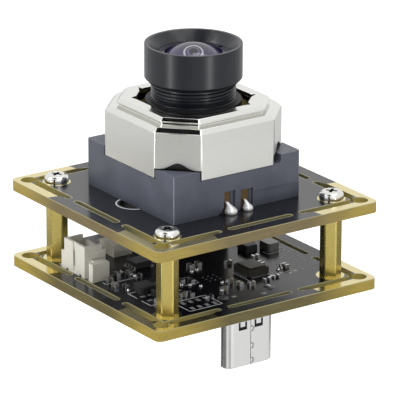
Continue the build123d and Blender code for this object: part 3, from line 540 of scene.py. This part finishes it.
def holder_finish():
    """Slate moulding, with painted shade towards its foot and a painted highlight along its upright edges."""
    made, tree, shader = new_material("slate_moulding")
    place, split = object_position(tree)
    cloud = noise_value(tree, place, scale=260.0, detail=4.0)
    tone = mix_colour(tree, cloud, from_srgb(72, 76, 88), from_srgb(104, 108, 122))
    # Painted shade: darker towards the foot, where the holder stands on the board
    foot = ramp(tree, split["Z"], SENSOR_TOP + HOLDER_SHADE_HEIGHT, SENSOR_TOP)
    foot = math_node(tree, "MULTIPLY", foot, HOLDER_SHADE_SHARE)
    tone = mix_colour(tree, foot, tone, from_srgb(40, 42, 50))
    # Painted highlight: paler along the upright edges
    near = math_node(tree, "MINIMUM", *folded(tree, split))
    edge_highlight = above(tree, near, HOLDER_FACE - EDGE_HIGHLIGHT_WIDTH)
    tree.links.new(mix_colour(tree, edge_highlight, tone, from_srgb(146, 149, 164)), shader.inputs["Base Color"])
    add_grain(tree, shader, roughness=0.4, spread=0.15, scale=900.0, bump=0.12)
    return made


# Finishes of the record's material slots, apart from the boards' slot, each with its colour, its
# roughness and, where it is metal, how metallic it is
finishes = {
    "brass": finish("brass", from_srgb(208, 190, 112), 0.27, 1.0, spread=0.02),
    "steel": screw_finish(),
    "holder_plastic": holder_finish(),
    "blue_glass": finish("filter_glass", from_srgb(190, 220, 225), 0.02, clear=1.0),
    "ceramic_package": finish("ceramic_package", from_srgb(60, 56, 52), 0.5, spread=0.1),
    "clear_glass": finish("lens_glass", from_srgb(225, 232, 228), 0.01, clear=1.0, ior=1.6),
    "nickel": cap_finish(),
    "magnet": finish("magnet_plating", from_srgb(90, 88, 84), 0.35, 1.0, spread=0.1),
    "black_plastic": finish("black_moulding", from_srgb(16, 16, 18), 0.55, spread=0.1),
    "copper": finish("enamelled_wire", from_srgb(84, 50, 32), 0.35, 0.6, spread=0.1),
    "spring_bronze": finish("spring_sheet", from_srgb(176, 156, 92), 0.4, 0.6, spread=0.1),
    "terminal_bronze": finish("terminal_strip", from_srgb(116, 93, 60), 0.4, 0.5, spread=0.2),
    "solder": finish("bright_solder", from_srgb(240, 240, 243), 0.2, 0.8, spread=0.2, scale=1500.0, bump=0.2),
    "lens_black": finish("anodised_black", from_srgb(17, 20, 28), 0.3, spread=0.06),
    "coated_glass": front_glass_finish(),
    "matt_black": finish("matt_black", from_srgb(20, 20, 22), 0.6, spread=0.1),
    "plug_steel": plug_finish(),
    "gold_contact": finish("gold_contact", from_srgb(232, 200, 120), 0.2, 1.0, spread=0.05),
    "tinned": finish("tin_plating", from_srgb(232, 233, 236), 0.2, 0.82, spread=0.15),
    "ivory_plastic": finish("ivory_moulding", from_srgb(236, 233, 221), 0.42, spread=0.1),
    "chip_black": finish("chip_moulding", from_srgb(34, 34, 37), 0.42, spread=0.12),
    "ferrite": finish("ferrite", from_srgb(40, 40, 42), 0.45, spread=0.1),
    "capacitor_body": finish("tan_ceramic", from_srgb(122, 114, 100), 0.35, spread=0.1),
}
main_middle = BOARD_THICK / 2
sensor_middle = SENSOR_TOP - BOARD_THICK / 2
main_edge = from_srgb(80, 73, 42), from_srgb(124, 113, 68)
sensor_edge = from_srgb(100, 87, 52), from_srgb(140, 123, 80)
# The boards, and nodes that look unlike the rest of their slot
own_finishes = {
    "main_board": board_finish("main_board_mask", main_middle, 0.35, *main_edge),
    "sensor_board": board_finish("sensor_board_mask", sensor_middle, 0.6, *sensor_edge),
    "retaining_ring": finish("ring_violet_black", from_srgb(34, 30, 52), 0.12, spread=0.04, ior=1.6),
    "main_processor": finish("processor_moulding", from_srgb(48, 46, 38), 0.36, spread=0.1),
    "plug_solder": finish("leg_solder", from_srgb(112, 112, 115), 0.4, 0.9, spread=0.2),
    "crystal_can": finish("crystal_can", from_srgb(132, 132, 129), 0.42, 1.0, spread=0.1),
}
# Finishes of pieces that are built here
legend_ink = finish("legend_ink", from_srgb(228, 230, 233), 0.5, spread=0.1)
pad_tin = finish("pad_tin", from_srgb(178, 180, 180), 0.35, 0.3, spread=0.2)
via_tin = finish("via_dots", from_srgb(160, 164, 176), 0.35, 0.1, spread=0.1)
satin_solder = finish("satin_solder", from_srgb(240, 240, 241), 0.34, 0.45, spread=0.2)

for name, node in nodes.items():
    dress(node, own_finishes[name] if name in own_finishes else finishes[slot_of[name]])


# Pieces whose sharp edges are eased

# Vertices this near are one, and faces that meet flatter than this, in degrees, are one
MERGE_REACH = 0.002
FLAT_ANGLE = 0.6
# The cap's two levels, how far the upper one stands in, its cut edge in the solid and the wider rims
CAP_SHOULDER = 26.2
CAP_TOP = 27.25
CAP_STEP = 1.5
CAP_CHAMFER = 0.25
SHOULDER_ROUND = 0.62
TOP_ROUND = 0.5
CAP_RIMS = ((CAP_SHOULDER, CAP_HALF, SHOULDER_ROUND), (CAP_TOP, CAP_HALF - CAP_STEP, TOP_ROUND))
# The octagon's cut corners are told by this share of x plus y, and a rim's vertices by the band
# round it and the height in which they lie
CORNER_SHARE = 0.72
BAND_INSIDE = 0.6
BAND_OUTSIDE = 1.9
LEVEL_REACH = 0.02


def on_cap_outline(place, half):
    """Whether a place is near the octagon that is twice half across."""
    x, y = abs(place.x), abs(place.y)
    reach = max(x, y, (x + y) * CORNER_SHARE)
    return half - BAND_INSIDE <= reach <= half + BAND_OUTSIDE


def widen_cap_edges(piece):
    """Makes the drawn cap's two outer rims as round as the press leaves them."""
    for level, half, wanted in CAP_RIMS:
        shrink = (half - wanted) / (half - CAP_CHAMFER)
        for height, value, move in (
            (level, (shrink, shrink, 1), 0.0),
            (level - CAP_CHAMFER, (1, 1, 1), CAP_CHAMFER - wanted),
        ):
            pick(piece, lambda place: on_cap_outline(place, half) and abs(place.z - height) < LEVEL_REACH)
            bpy.ops.transform.resize(value=value, center_override=(0, 0, 0))
            bpy.ops.transform.translate(value=(0, 0, move * MM))
            bpy.ops.object.mode_set(mode="OBJECT")


def eased_copy(node, name, radius, steps, angle=28.0, smooth=50.0, shape=None):
    """A copy of a CAD piece with its triangles joined into faces and its edges rounded."""
    source = nodes[node]
    activate(source)
    bpy.ops.object.duplicate()
    piece = bpy.context.object
    del piece["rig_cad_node"]
    rename(piece, name)
    bpy.ops.object.mode_set(mode="EDIT")
    bpy.ops.mesh.select_all(action="SELECT")
    bpy.ops.mesh.remove_doubles(threshold=MERGE_REACH * MM)
    bpy.ops.mesh.dissolve_limited(angle_limit=math.radians(FLAT_ANGLE))
    bpy.ops.object.mode_set(mode="OBJECT")
    if shape:
        shape(piece)
    easing = piece.modifiers.new("eased_edges", "BEVEL")
    easing.width = radius * MM
    easing.segments = steps
    easing.limit_method = "ANGLE"
    easing.angle_limit = math.radians(angle)
    bpy.ops.object.modifier_apply(modifier=easing.name)
    bpy.ops.object.shade_smooth_by_angle(angle=math.radians(smooth))
    flatten = piece.modifiers.new("flat_faces", "WEIGHTED_NORMAL")
    flatten.keep_sharp = True
    flatten.weight = 100
    bpy.ops.object.modifier_apply(modifier=flatten.name)
    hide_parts(node)
    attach(piece, source["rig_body"])


eased_copy("yoke_cap", "yoke_cap_shell", radius=0.2, steps=4, shape=widen_cap_edges)
eased_copy("lens_holder", "lens_holder_moulding", radius=0.09, steps=3)
eased_copy("standoffs", "brass_standoffs", radius=0.04, steps=2)
eased_copy("wire_header", "wire_header_moulding", radius=0.06, steps=2)
eased_copy("low_header", "low_header_moulding", radius=0.05, steps=2)
eased_copy("lens_barrel", "lens_barrel_turned", radius=0.12, steps=3, angle=40.0, smooth=30.0)
eased_copy("main_processor", "processor_package", radius=0.04, steps=2)


# Pieces built here


def start_piece(name):
    """An empty mesh object, open in edit mode for the operators that follow."""
    deselect()
    bpy.ops.mesh.primitive_cube_add(size=1.0)
    piece = bpy.context.object
    rename(piece, name)
    bpy.ops.object.mode_set(mode="EDIT")
    bpy.ops.mesh.select_all(action="SELECT")
    bpy.ops.mesh.delete(type="VERT")
    return piece


def add_slab(x, y, z, width, length, height, turn=0.0):
    """A flat slab centred on (x, y) that stands on z, turned in degrees."""
    bpy.ops.mesh.primitive_cube_add(
        size=1.0,
        location=(x * MM, y * MM, (z + height / 2) * MM),
        rotation=(0, 0, math.radians(turn)),
        scale=(width * MM, length * MM, height * MM),
    )


def end_piece(piece, material, body="housing", smooth=None):
    """Closes a piece, with its finish and body, and smooths it up to an angle if one is given."""
    bpy.ops.object.mode_set(mode="OBJECT")
    dress(piece, material)
    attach(piece, body)
    if smooth:
        bpy.ops.object.shade_smooth_by_angle(angle=math.radians(smooth))


# Screws with domed heads and a cross recess

HEAD_RADIUS = 1.8
HEAD_SIDES = 40
DOME_EASE = 0.72
DOME_STEPS = 6
# A face that looks up has at least this upward part in its normal
UPWARD = 0.9
SCREW_SMOOTH = 40
RECESS_ARM = 0.95
RECESS_WIDTH = 0.5
RECESS_DEPTH = 0.8
# The cutter stands this far out of the head, and its foot has these shares of its length and width
CUTTER_LIFT = 0.1
RECESS_NARROWS = (0.45, 0.6, 1)
SHANK_RADIUS = 0.98
SHANK_LENGTH = 5.0
SHANK_SIDES = 24
SCREW_CORNERS = ((-1, -1), (1, -1), (1, 1), (-1, 1))
# How far each screw was turned home, in degrees
TOP_TURNS = (12.0, 40.0, 65.0, 28.0)
BOTTOM_TURNS = (30.0, 5.0, 50.0, 75.0)


def recess_cutter():
    """Cross of two wedges that narrow towards the bottom of the recess."""
    deselect()
    middle = HEAD_HEIGHT - RECESS_DEPTH / 2
    parts = []
    for turn in (0, 90):
        bpy.ops.mesh.primitive_cube_add(
            size=1.0,
            location=(0, 0, (middle + CUTTER_LIFT) * MM),
            scale=(2 * RECESS_ARM * MM, RECESS_WIDTH * MM, (RECESS_DEPTH + 2 * CUTTER_LIFT) * MM),
        )
        wedge = bpy.context.object
        settle()
        pick(wedge, lambda place: place.z < middle)
        bpy.ops.transform.resize(value=RECESS_NARROWS, center_override=(0, 0, 0))
        bpy.ops.object.mode_set(mode="OBJECT")
        wedge.rotation_euler = (0, 0, math.radians(turn))
        settle()
        parts.append(wedge)
    return parts


def domed_screw():
    """One screw, upright, with the underside of its head on z = 0."""
    deselect()
    bpy.ops.mesh.primitive_cylinder_add(
        vertices=HEAD_SIDES,
        radius=HEAD_RADIUS * MM,
        depth=HEAD_HEIGHT * MM,
        location=(0, 0, HEAD_HEIGHT / 2 * MM),
    )
    screw = bpy.context.object
    settle()
    for face in screw.data.polygons:
        face.select = face.normal.z > UPWARD
    for edge in screw.data.edges:
        edge.select = False
    for vertex in screw.data.vertices:
        vertex.select = False
    bpy.ops.object.mode_set(mode="EDIT")
    bpy.ops.mesh.select_mode(type="FACE")
    bpy.ops.mesh.region_to_loop()
    bpy.ops.mesh.bevel(offset=DOME_EASE * MM, segments=DOME_STEPS, affect="EDGES")
    bpy.ops.mesh.select_mode(type="VERT")
    bpy.ops.object.mode_set(mode="OBJECT")
    for wedge in recess_cutter():
        activate(screw)
        cut = screw.modifiers.new("recess", "BOOLEAN")
        cut.operation = "DIFFERENCE"
        cut.solver = "EXACT"
        cut.object = wedge
        bpy.ops.object.modifier_apply(modifier=cut.name)
        bpy.data.objects.remove(wedge)
    bpy.ops.mesh.primitive_cylinder_add(
        vertices=SHANK_SIDES,
        radius=SHANK_RADIUS * MM,
        depth=SHANK_LENGTH * MM,
        location=(0, 0, -SHANK_LENGTH / 2 * MM),
    )
    settle()
    screw.select_set(True)
    bpy.context.view_layer.objects.active = screw
    bpy.ops.object.join()
    bpy.ops.object.shade_smooth_by_angle(angle=math.radians(SCREW_SMOOTH))
    return screw


def screw_set(pattern, name, seat, flipped, turns, node):
    """Four copies of the screw at the corners of the screw pattern."""
    copies = []
    for (sx, sy), turn in zip(SCREW_CORNERS, turns):
        activate(pattern)
        bpy.ops.object.duplicate()
        copy = bpy.context.object
        tip = Matrix.Rotation(math.pi, 4, "X") if flipped else Matrix.Identity(4)
        spin = Matrix.Rotation(math.radians(turn), 4, "Z")
        place = Matrix.Translation((sx * SCREW_STEP * MM, sy * SCREW_STEP * MM, seat * MM))
        copy.matrix_world = place @ tip @ spin
        settle()
        copies.append(copy)
    deselect()
    for copy in copies:
        copy.select_set(True)
    bpy.context.view_layer.objects.active = copies[0]
    bpy.ops.object.join()
    piece = bpy.context.object
    rename(piece, name)
    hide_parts(node)
    end_piece(piece, finishes["steel"])


pattern_screw = domed_screw()
screw_set(pattern_screw, "domed_top_screws", SENSOR_TOP, False, TOP_TURNS, "top_screws")
screw_set(pattern_screw, "domed_bottom_screws", 0.0, True, BOTTOM_TURNS, "bottom_screws")
bpy.data.objects.remove(pattern_screw)


# Thread on the lens's neck

THREAD_ROOT = 5.8
THREAD_CREST = 6.08
THREAD_FOOT = 0.46
THREAD_TIP = 0.1
THREAD_PITCH = 0.5
THREAD_LOW = 27.3
THREAD_TURNS = 4
THREAD_STEPS = 72
THREAD_MERGE = 0.0005


def lens_thread():
    """Helical ridge between the drive's collar and the lens's head."""
    piece = start_piece("lens_thread")
    middle = (THREAD_ROOT + THREAD_CREST) / 2
    centre = (middle * MM, 0, THREAD_LOW * MM)
    upright = (math.radians(90), 0, 0)
    bpy.ops.mesh.primitive_plane_add(size=THREAD_FOOT * MM, location=centre, rotation=upright)
    bpy.ops.mesh.select_all(action="SELECT")
    narrow = (THREAD_CREST - THREAD_ROOT) / THREAD_FOOT
    bpy.ops.transform.resize(value=(narrow, 1, 1), center_override=centre)
    pick(piece, lambda place: place.x > middle)
    bpy.ops.transform.resize(value=(1, 1, THREAD_TIP / THREAD_FOOT), center_override=centre)
    bpy.ops.mesh.select_all(action="SELECT")
    bpy.ops.mesh.delete(type="ONLY_FACE")
    bpy.ops.object.mode_set(mode="OBJECT")
    helix = piece.modifiers.new("helix", "SCREW")
    helix.screw_offset = THREAD_PITCH * MM
    helix.iterations = THREAD_TURNS
    helix.steps = THREAD_STEPS
    helix.render_steps = THREAD_STEPS
    bpy.ops.object.modifier_apply(modifier=helix.name)
    bpy.ops.object.mode_set(mode="EDIT")
    bpy.ops.mesh.select_all(action="SELECT")
    bpy.ops.mesh.remove_doubles(threshold=THREAD_MERGE * MM)
    bpy.ops.mesh.fill_holes(sides=4)
    bpy.ops.mesh.select_all(action="SELECT")
    bpy.ops.mesh.normals_make_consistent(inside=False)
    end_piece(piece, finishes["lens_black"], "lens", smooth=30)


# Printed marks, pads and plated holes on the main board

# Height of ink, pads and filled holes, and the width of a printed line
FILM = 0.02
LINE = 0.13
# Printed outlines round parts: left, right, low and high side, and the gap in the left and right
PRINT_FRAMES = (
    (-10.85, -5.3, -14.9, -10.8, 0.0),
    (-14.1, -9.7, -10.0, -4.2, 1.2),
    (-5.6, -3.2, -6.1, -3.4, 0.0),
    (11.8, 14.8, -2.2, 1.4, 1.0),
    (-3.2, 0.8, 10.2, 14.2, 0.0),
    (-14.6, -9.0, 0.6, 3.4, 1.0),
)
# Single printed lines: x and y of both ends
PRINT_LINES = (
    (3.1, -9.6, 3.1, -5.4),
    (9.6, -9.6, 11.8, -9.0),
    (11.8, -9.0, 12.4, -10.2),
)
# Pads with no part on them: those of a missing header in two rows, and two sizes of single ones
HEADER_PAD = (0.55, 0.9)
HEADER_PADS_X = -9.85
HEADER_PADS_Y = (-11.75, -14.05)
HEADER_PITCH = 1.27
HEADER_COLUMNS = 4
WIDE_PAD = (0.8, 0.5)
WIDE_PADS = ((-13.0, -6.3), (-13.0, -8.1), (-11.7, -6.3), (-11.7, -8.1), (-10.6, -6.3), (-10.6, -8.1))
SMALL_PAD = (0.7, 0.5)
SMALL_PADS = (
    (-2.4, -13.6), (1.9, -14.9), (3.4, -13.5), (9.9, -10.3), (10.9, -10.0), (-7.4, -7.2), (8.7, -9.6),
)
# Grids of plated holes: x and y of the first, columns and rows, and the step to the next of each
VIA_RADIUS = 0.15
VIA_SIDES = 8
VIA_GRIDS = (
    (14.9, -9.0, 1, 26, 0.0, 0.75),
    (10.2, -6.4, 5, 3, 0.8, 0.95),
    (-1.6, -6.6, 3, 3, 0.9, 0.9),
)
# Beads of solder beside the chips
BEAD_RADIUS = 0.27
BEAD_LIFT = 0.08
SOLDER_BEADS = (
    (-13.4, 1.5), (-14.0, -0.75), (-13.4, -3.3), (-11.8, -2.7), (-10.0, 3.6), (-9.5, 1.9), (-9.45, 1.0),
    (-6.0, -5.8), (-5.0, -6.5), (-4.0, -7.7), (-8.4, -9.1), (-7.2, -8.6), (-0.6, -8.2), (0.55, -8.5),
    (-2.5, -10.8), (-1.65, -2.1), (-0.65, -1.9), (9.1, -8.4), (9.9, -8.1), (10.4, -7.2), (6.5, -10.0),
)


def add_line(x1, y1, x2, y2):
    length = math.hypot(x2 - x1, y2 - y1)
    turn = math.degrees(math.atan2(y2 - y1, x2 - x1))
    add_slab((x1 + x2) / 2, (y1 + y2) / 2, MAIN_TOP, length + LINE, LINE, FILM, turn)


def add_frame(left, right, low, high, gap):
    """Printed outline round a part, open in the middle of two sides where gap is set."""
    y = (low + high) / 2
    add_line(left, low, right, low)
    add_line(left, high, right, high)
    for x in (left, right):
        if gap:
            add_line(x, low, x, y - gap / 2)
            add_line(x, y + gap / 2, x, high)
        else:
            add_line(x, low, x, high)


def main_board_print():
    piece = start_piece("main_board_print")
    for outline in PRINT_FRAMES:
        add_frame(*outline)
    for ends in PRINT_LINES:
        add_line(*ends)
    end_piece(piece, legend_ink)


def main_board_pads():
    """Bare tinned pads with no part on them."""
    piece = start_piece("main_board_pads")
    columns = [HEADER_PADS_X + HEADER_PITCH * column for column in range(HEADER_COLUMNS)]
    header_pads = [(x, y) for y in HEADER_PADS_Y for x in columns]
    for pad, places in ((HEADER_PAD, header_pads), (WIDE_PAD, WIDE_PADS), (SMALL_PAD, SMALL_PADS)):
        for x, y in places:
            add_slab(x, y, MAIN_TOP, *pad, FILM)
    end_piece(piece, pad_tin)


def main_board_vias():
    """Rows of small plated holes, filled level with the mask."""
    piece = start_piece("main_board_vias")
    for first_x, first_y, columns, rows, step_x, step_y in VIA_GRIDS:
        for step in range(columns * rows):
            x = first_x + step_x * (step % columns)
            y = first_y + step_y * (step // columns)
            bpy.ops.mesh.primitive_cylinder_add(
                vertices=VIA_SIDES,
                radius=VIA_RADIUS * MM,
                depth=FILM * MM,
                location=(x * MM, y * MM, (MAIN_TOP + FILM / 2) * MM),
            )
    end_piece(piece, via_tin)


def solder_beads():
    """Small bright beads of solder beside the chips."""
    piece = start_piece("solder_beads")
    for x, y in SOLDER_BEADS:
        bpy.ops.mesh.primitive_uv_sphere_add(
            segments=12,
            ring_count=8,
            radius=BEAD_RADIUS * MM,
            location=(x * MM, y * MM, (MAIN_TOP + BEAD_LIFT) * MM),
        )
    end_piece(piece, finishes["solder"], smooth=60)


# Solder at the foot of the two coil terminals, on the sensor board

# Of each drop: x, radius, height and the x of its top
TERMINAL_DROPS = ((-1.45, 0.92, 1.75, -1.85), (1.45, 0.76, 1.55, 1.3))
DROP_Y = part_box("terminal_solder")[0].y / MM + 0.95
DROP_TOP_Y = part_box("terminal_solder")[1].y / MM - 0.25
# Height of a drop's widest ring, as a share of its radius
DROP_MIDDLE = 0.4
# Rings of a sphere above its middle: their height in the sphere, and height and width in the drop
PEAR = (
    (1.0, 1.0, 1.0),
    (0.966, 0.94, 0.95),
    (0.866, 0.76, 0.66),
    (0.707, 0.56, 0.68),
    (0.5, 0.36, 0.87),
    (0.259, 0.17, 0.99),
)
# A sphere's ring is looked for within this much of its level
RING_REACH = 0.01
# Share of its depth that is left of the part that is pressed flat on the board
PRESSED = 0.001


def terminal_solder_drops():
    """Pear-shaped drops of solder that lean against the terminals."""
    piece = start_piece("terminal_solder_drops")
    for x, radius, height, top_x in TERMINAL_DROPS:
        side = math.copysign(1.0, x)
        middle = SENSOR_TOP + DROP_MIDDLE * radius
        bpy.ops.mesh.primitive_uv_sphere_add(
            segments=20,
            ring_count=12,
            radius=radius * MM,
            location=(x * MM, DROP_Y * MM, middle * MM),
        )
        for level, rise, width in PEAR:
            ring = middle + level * radius
            pick(piece, lambda place: place.x * side > 0 and abs(place.z - ring) < RING_REACH)
            axis = (x * MM, DROP_Y * MM, ring * MM)
            bpy.ops.transform.resize(value=(width, width, 1), center_override=axis)
            lift = middle + rise * (height - DROP_MIDDLE * radius) - ring
            lean = rise * rise
            move = (lean * (top_x - x) * MM, lean * (DROP_TOP_Y - DROP_Y) * MM, lift * MM)
            bpy.ops.transform.translate(value=move)
        pick(piece, lambda place: place.x * side > 0 and place.z < SENSOR_TOP)
        bpy.ops.transform.resize(value=(1, 1, PRESSED), center_override=(0, 0, SENSOR_TOP * MM))
    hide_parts("terminal_solder")
    end_piece(piece, satin_solder, smooth=60)


# Printed ring round the hole beside the holder

RING_PLACE = (-10.18, -0.08)
RING_RADIUS = 2.6
RING_LINE = 0.22
RING_STEPS = 30
RING_OVERLAP = 0.02
# Gap between the ring's ends and the holder's wall
RING_CLEAR = 0.06


def holder_hole_ring():
    """The part of the ring that the holder doesn't stand on."""
    piece = start_piece("holder_hole_ring")
    shown = math.acos((HOLDER_FACE + RING_CLEAR + RING_PLACE[0]) / RING_RADIUS)
    piece_angle = 2 * shown / RING_STEPS
    for step in range(RING_STEPS):
        (x1, y1), (x2, y2) = [
            (
                RING_PLACE[0] + RING_RADIUS * math.cos(math.pi - shown + piece_angle * end),
                RING_PLACE[1] + RING_RADIUS * math.sin(math.pi - shown + piece_angle * end),
            )
            for end in (step, step + 1)
        ]
        length = math.hypot(x2 - x1, y2 - y1) + RING_OVERLAP
        turn = math.degrees(math.atan2(y2 - y1, x2 - x1))
        add_slab((x1 + x2) / 2, (y1 + y2) / 2, SENSOR_TOP, length, RING_LINE, FILM, turn)
    end_piece(piece, legend_ink)


lens_thread()
main_board_print()
main_board_pads()
main_board_vias()
solder_beads()
terminal_solder_drops()
holder_hole_ring()


# Floor, light and camera, with angles in degrees and lengths in metres

FLOOR_LEVEL = -0.045
FLOOR_SIZE = 6.0
CARD_LIFT = 0.0005
# A card's blue, as a share of its red and green
CARD_BLUE = 0.97
# The floor's grey, its glow towards the camera and the share of it that bright metal reflects
FLOOR_GREY = 0.8
FLOOR_GLOW = 0.6
GLOSSY_SHARE = 0.15
# The world's level as light, and as the background that is seen
WORLD_LIGHT = 0.5
WORLD_SEEN = 1.0
LIGHT_TARGET = Vector((0, 0, 0.015))
# Soft lights: name, azimuth, elevation, distance, width, height and power in watts
SOFT_LIGHTS = (
    ("left_box", -112, 38, 0.6, 0.16, 0.3, 1.2),
    ("right_box", -10, 40, 0.6, 0.16, 0.3, 0.6),
    ("top_box", 60, 75, 0.7, 0.4, 0.4, 0.8),
    ("left_strip", -89, -8, 0.2, 0.02, 0.05, 0.035),
    ("right_strip", 3, -8, 0.2, 0.02, 0.05, 0.035),
)
# Dark cards that stand: name, azimuth, elevation, distance, width, height and shade
STANDING_CARDS = (
    ("side_card", -56, 19, 0.5, 0.15, 0.42, 0.01),
    ("high_card", -72, 66, 0.45, 0.2, 0.2, 0.01),
    ("back_card", 150, 23, 0.075, 0.02, 0.02, 0.01),
)
# Dark cards that lie on the floor: name, azimuth, distance, side and shade
FLOOR_CARDS = (
    ("left_floor_card", -140, 0.12, 0.1, 0.02),
    ("plug_floor_card", -95, 0.125, 0.11, 0.12),
    ("plug_front_card", -22, 0.112, 0.055, 0.45),
    ("front_floor_card", -55, 0.2, 0.11, 0.45),
    ("right_floor_card", 92, 0.15, 0.1, 0.03),
)
# The camera's axes and place, fitted to the boards' corners in the photograph
CAMERA_RIGHT = (0.82032796, -0.57188572, 0.00295812)
CAMERA_UP = (0.18641597, 0.27228283, 0.94398684)
CAMERA_BACK = (-0.54065804, -0.77382736, 0.32996985)
CAMERA_PLACE = (-0.28540, -0.41021, 0.18634)
# Half the picture's width and the focal length, in pixels
PICTURE_HALF = 200
FOCAL_LENGTH = 3689.03


def stage_floor():
    """Pale floor that the camera sees white, and that views from below see through."""
    deselect()
    bpy.ops.mesh.primitive_plane_add(size=FLOOR_SIZE, location=(0, 0, FLOOR_LEVEL))
    floor = bpy.context.object
    rename(floor, "studio_floor")
    made, tree, shader = new_material("floor_paper")
    shader.inputs["Base Color"].default_value = (FLOOR_GREY, FLOOR_GREY, FLOOR_GREY, 1)
    shader.inputs["Roughness"].default_value = 0.9
    path = tree.nodes.new("ShaderNodeLightPath")
    seen = either(tree, path.outputs["Is Camera Ray"], path.outputs["Is Transmission Ray"])
    seen = math_node(tree, "MULTIPLY_ADD", path.outputs["Is Glossy Ray"], GLOSSY_SHARE, seen)
    glow = math_node(tree, "MULTIPLY", seen, FLOOR_GLOW)
    shader.inputs["Emission Color"].default_value = (1, 1, 1, 1)
    tree.links.new(glow, shader.inputs["Emission Strength"])
    side = tree.nodes.new("ShaderNodeNewGeometry")
    front = math_node(tree, "SUBTRACT", 1.0, side.outputs["Backfacing"])
    tree.links.new(front, shader.inputs["Alpha"])
    dress(floor, made)


def direction(azimuth, elevation):
    """Unit vector towards an azimuth, counted from the front, and an elevation."""
    turn, rise = math.radians(azimuth), math.radians(elevation)
    return Vector((math.sin(turn) * math.cos(rise), -math.cos(turn) * math.cos(rise), math.sin(rise)))


def soft_light(name, azimuth, elevation, distance, width, height, power):
    data = bpy.data.lights.new(name, "AREA")
    data.shape = "RECTANGLE"
    data.size = width
    data.size_y = height
    data.energy = power
    lamp = bpy.data.objects.new(name, data)
    bpy.context.scene.collection.objects.link(lamp)
    toward = direction(azimuth, elevation)
    lamp.location = toward * distance + LIGHT_TARGET
    lamp.rotation_mode = "QUATERNION"
    lamp.rotation_quaternion = (-toward).to_track_quat("-Z", "Y")


def dark_card(name, place, facing, width, height, shade):
    """A dark board off camera that bright metal reflects."""
    deselect()
    bpy.ops.mesh.primitive_plane_add(size=1.0, location=place)
    card = bpy.context.object
    rename(card, name)
    card.scale = (width, height, 1)
    card.rotation_mode = "QUATERNION"
    card.rotation_quaternion = facing.to_track_quat("Z", "Y")
    made, _, shader = new_material(name)
    shader.inputs["Base Color"].default_value = (shade, shade, shade * CARD_BLUE, 1)
    shader.inputs["Roughness"].default_value = 0.9
    shader.inputs["Specular IOR Level"].default_value = 0.0
    dress(card, made)
    card.visible_camera = False
    card.visible_diffuse = False
    card.visible_shadow = False


def standing_card(name, azimuth, elevation, distance, width, height, shade):
    toward = direction(azimuth, elevation)
    dark_card(name, toward * distance, -toward, width, height, shade)


def floor_card(name, azimuth, distance, side, shade):
    spot = direction(azimuth, 0.0) * distance
    dark_card(name, (spot.x, spot.y, FLOOR_LEVEL + CARD_LIFT), Vector((0, 0, 1)), side, side, shade)


def white_world():
    """A white background, with a plainer level as light."""
    world = bpy.data.worlds.new("studio")
    bpy.context.scene.world = world
    world.use_nodes = True
    tree = world.node_tree
    sky = tree.nodes["Background"]
    path = tree.nodes.new("ShaderNodeLightPath")
    seen = either(tree, path.outputs["Is Camera Ray"], path.outputs["Is Glossy Ray"])
    seen = either(tree, seen, path.outputs["Is Transmission Ray"])
    sky.inputs["Color"].default_value = (1, 1, 1, 1)
    tree.links.new(mix_value(tree, seen, WORLD_LIGHT, WORLD_SEEN), sky.inputs["Strength"])


def photo_camera():
    data = bpy.data.cameras.new("camera")
    camera = bpy.data.objects.new("camera", data)
    bpy.context.scene.collection.objects.link(camera)
    turn = Matrix((CAMERA_RIGHT, CAMERA_UP, CAMERA_BACK)).transposed()
    camera.matrix_world = Matrix.Translation(CAMERA_PLACE) @ turn.to_4x4()
    data.lens_unit = "FOV"
    data.angle = 2 * math.atan(PICTURE_HALF / FOCAL_LENGTH)
    data.clip_start = 0.01
    data.clip_end = 20.0
    bpy.context.scene.camera = camera


stage_floor()
white_world()
for light in SOFT_LIGHTS:
    soft_light(*light)
for card in STANDING_CARDS:
    standing_card(*card)
for card in FLOOR_CARDS:
    floor_card(*card)
photo_camera()
bpy.context.scene.view_settings.view_transform = "Standard"
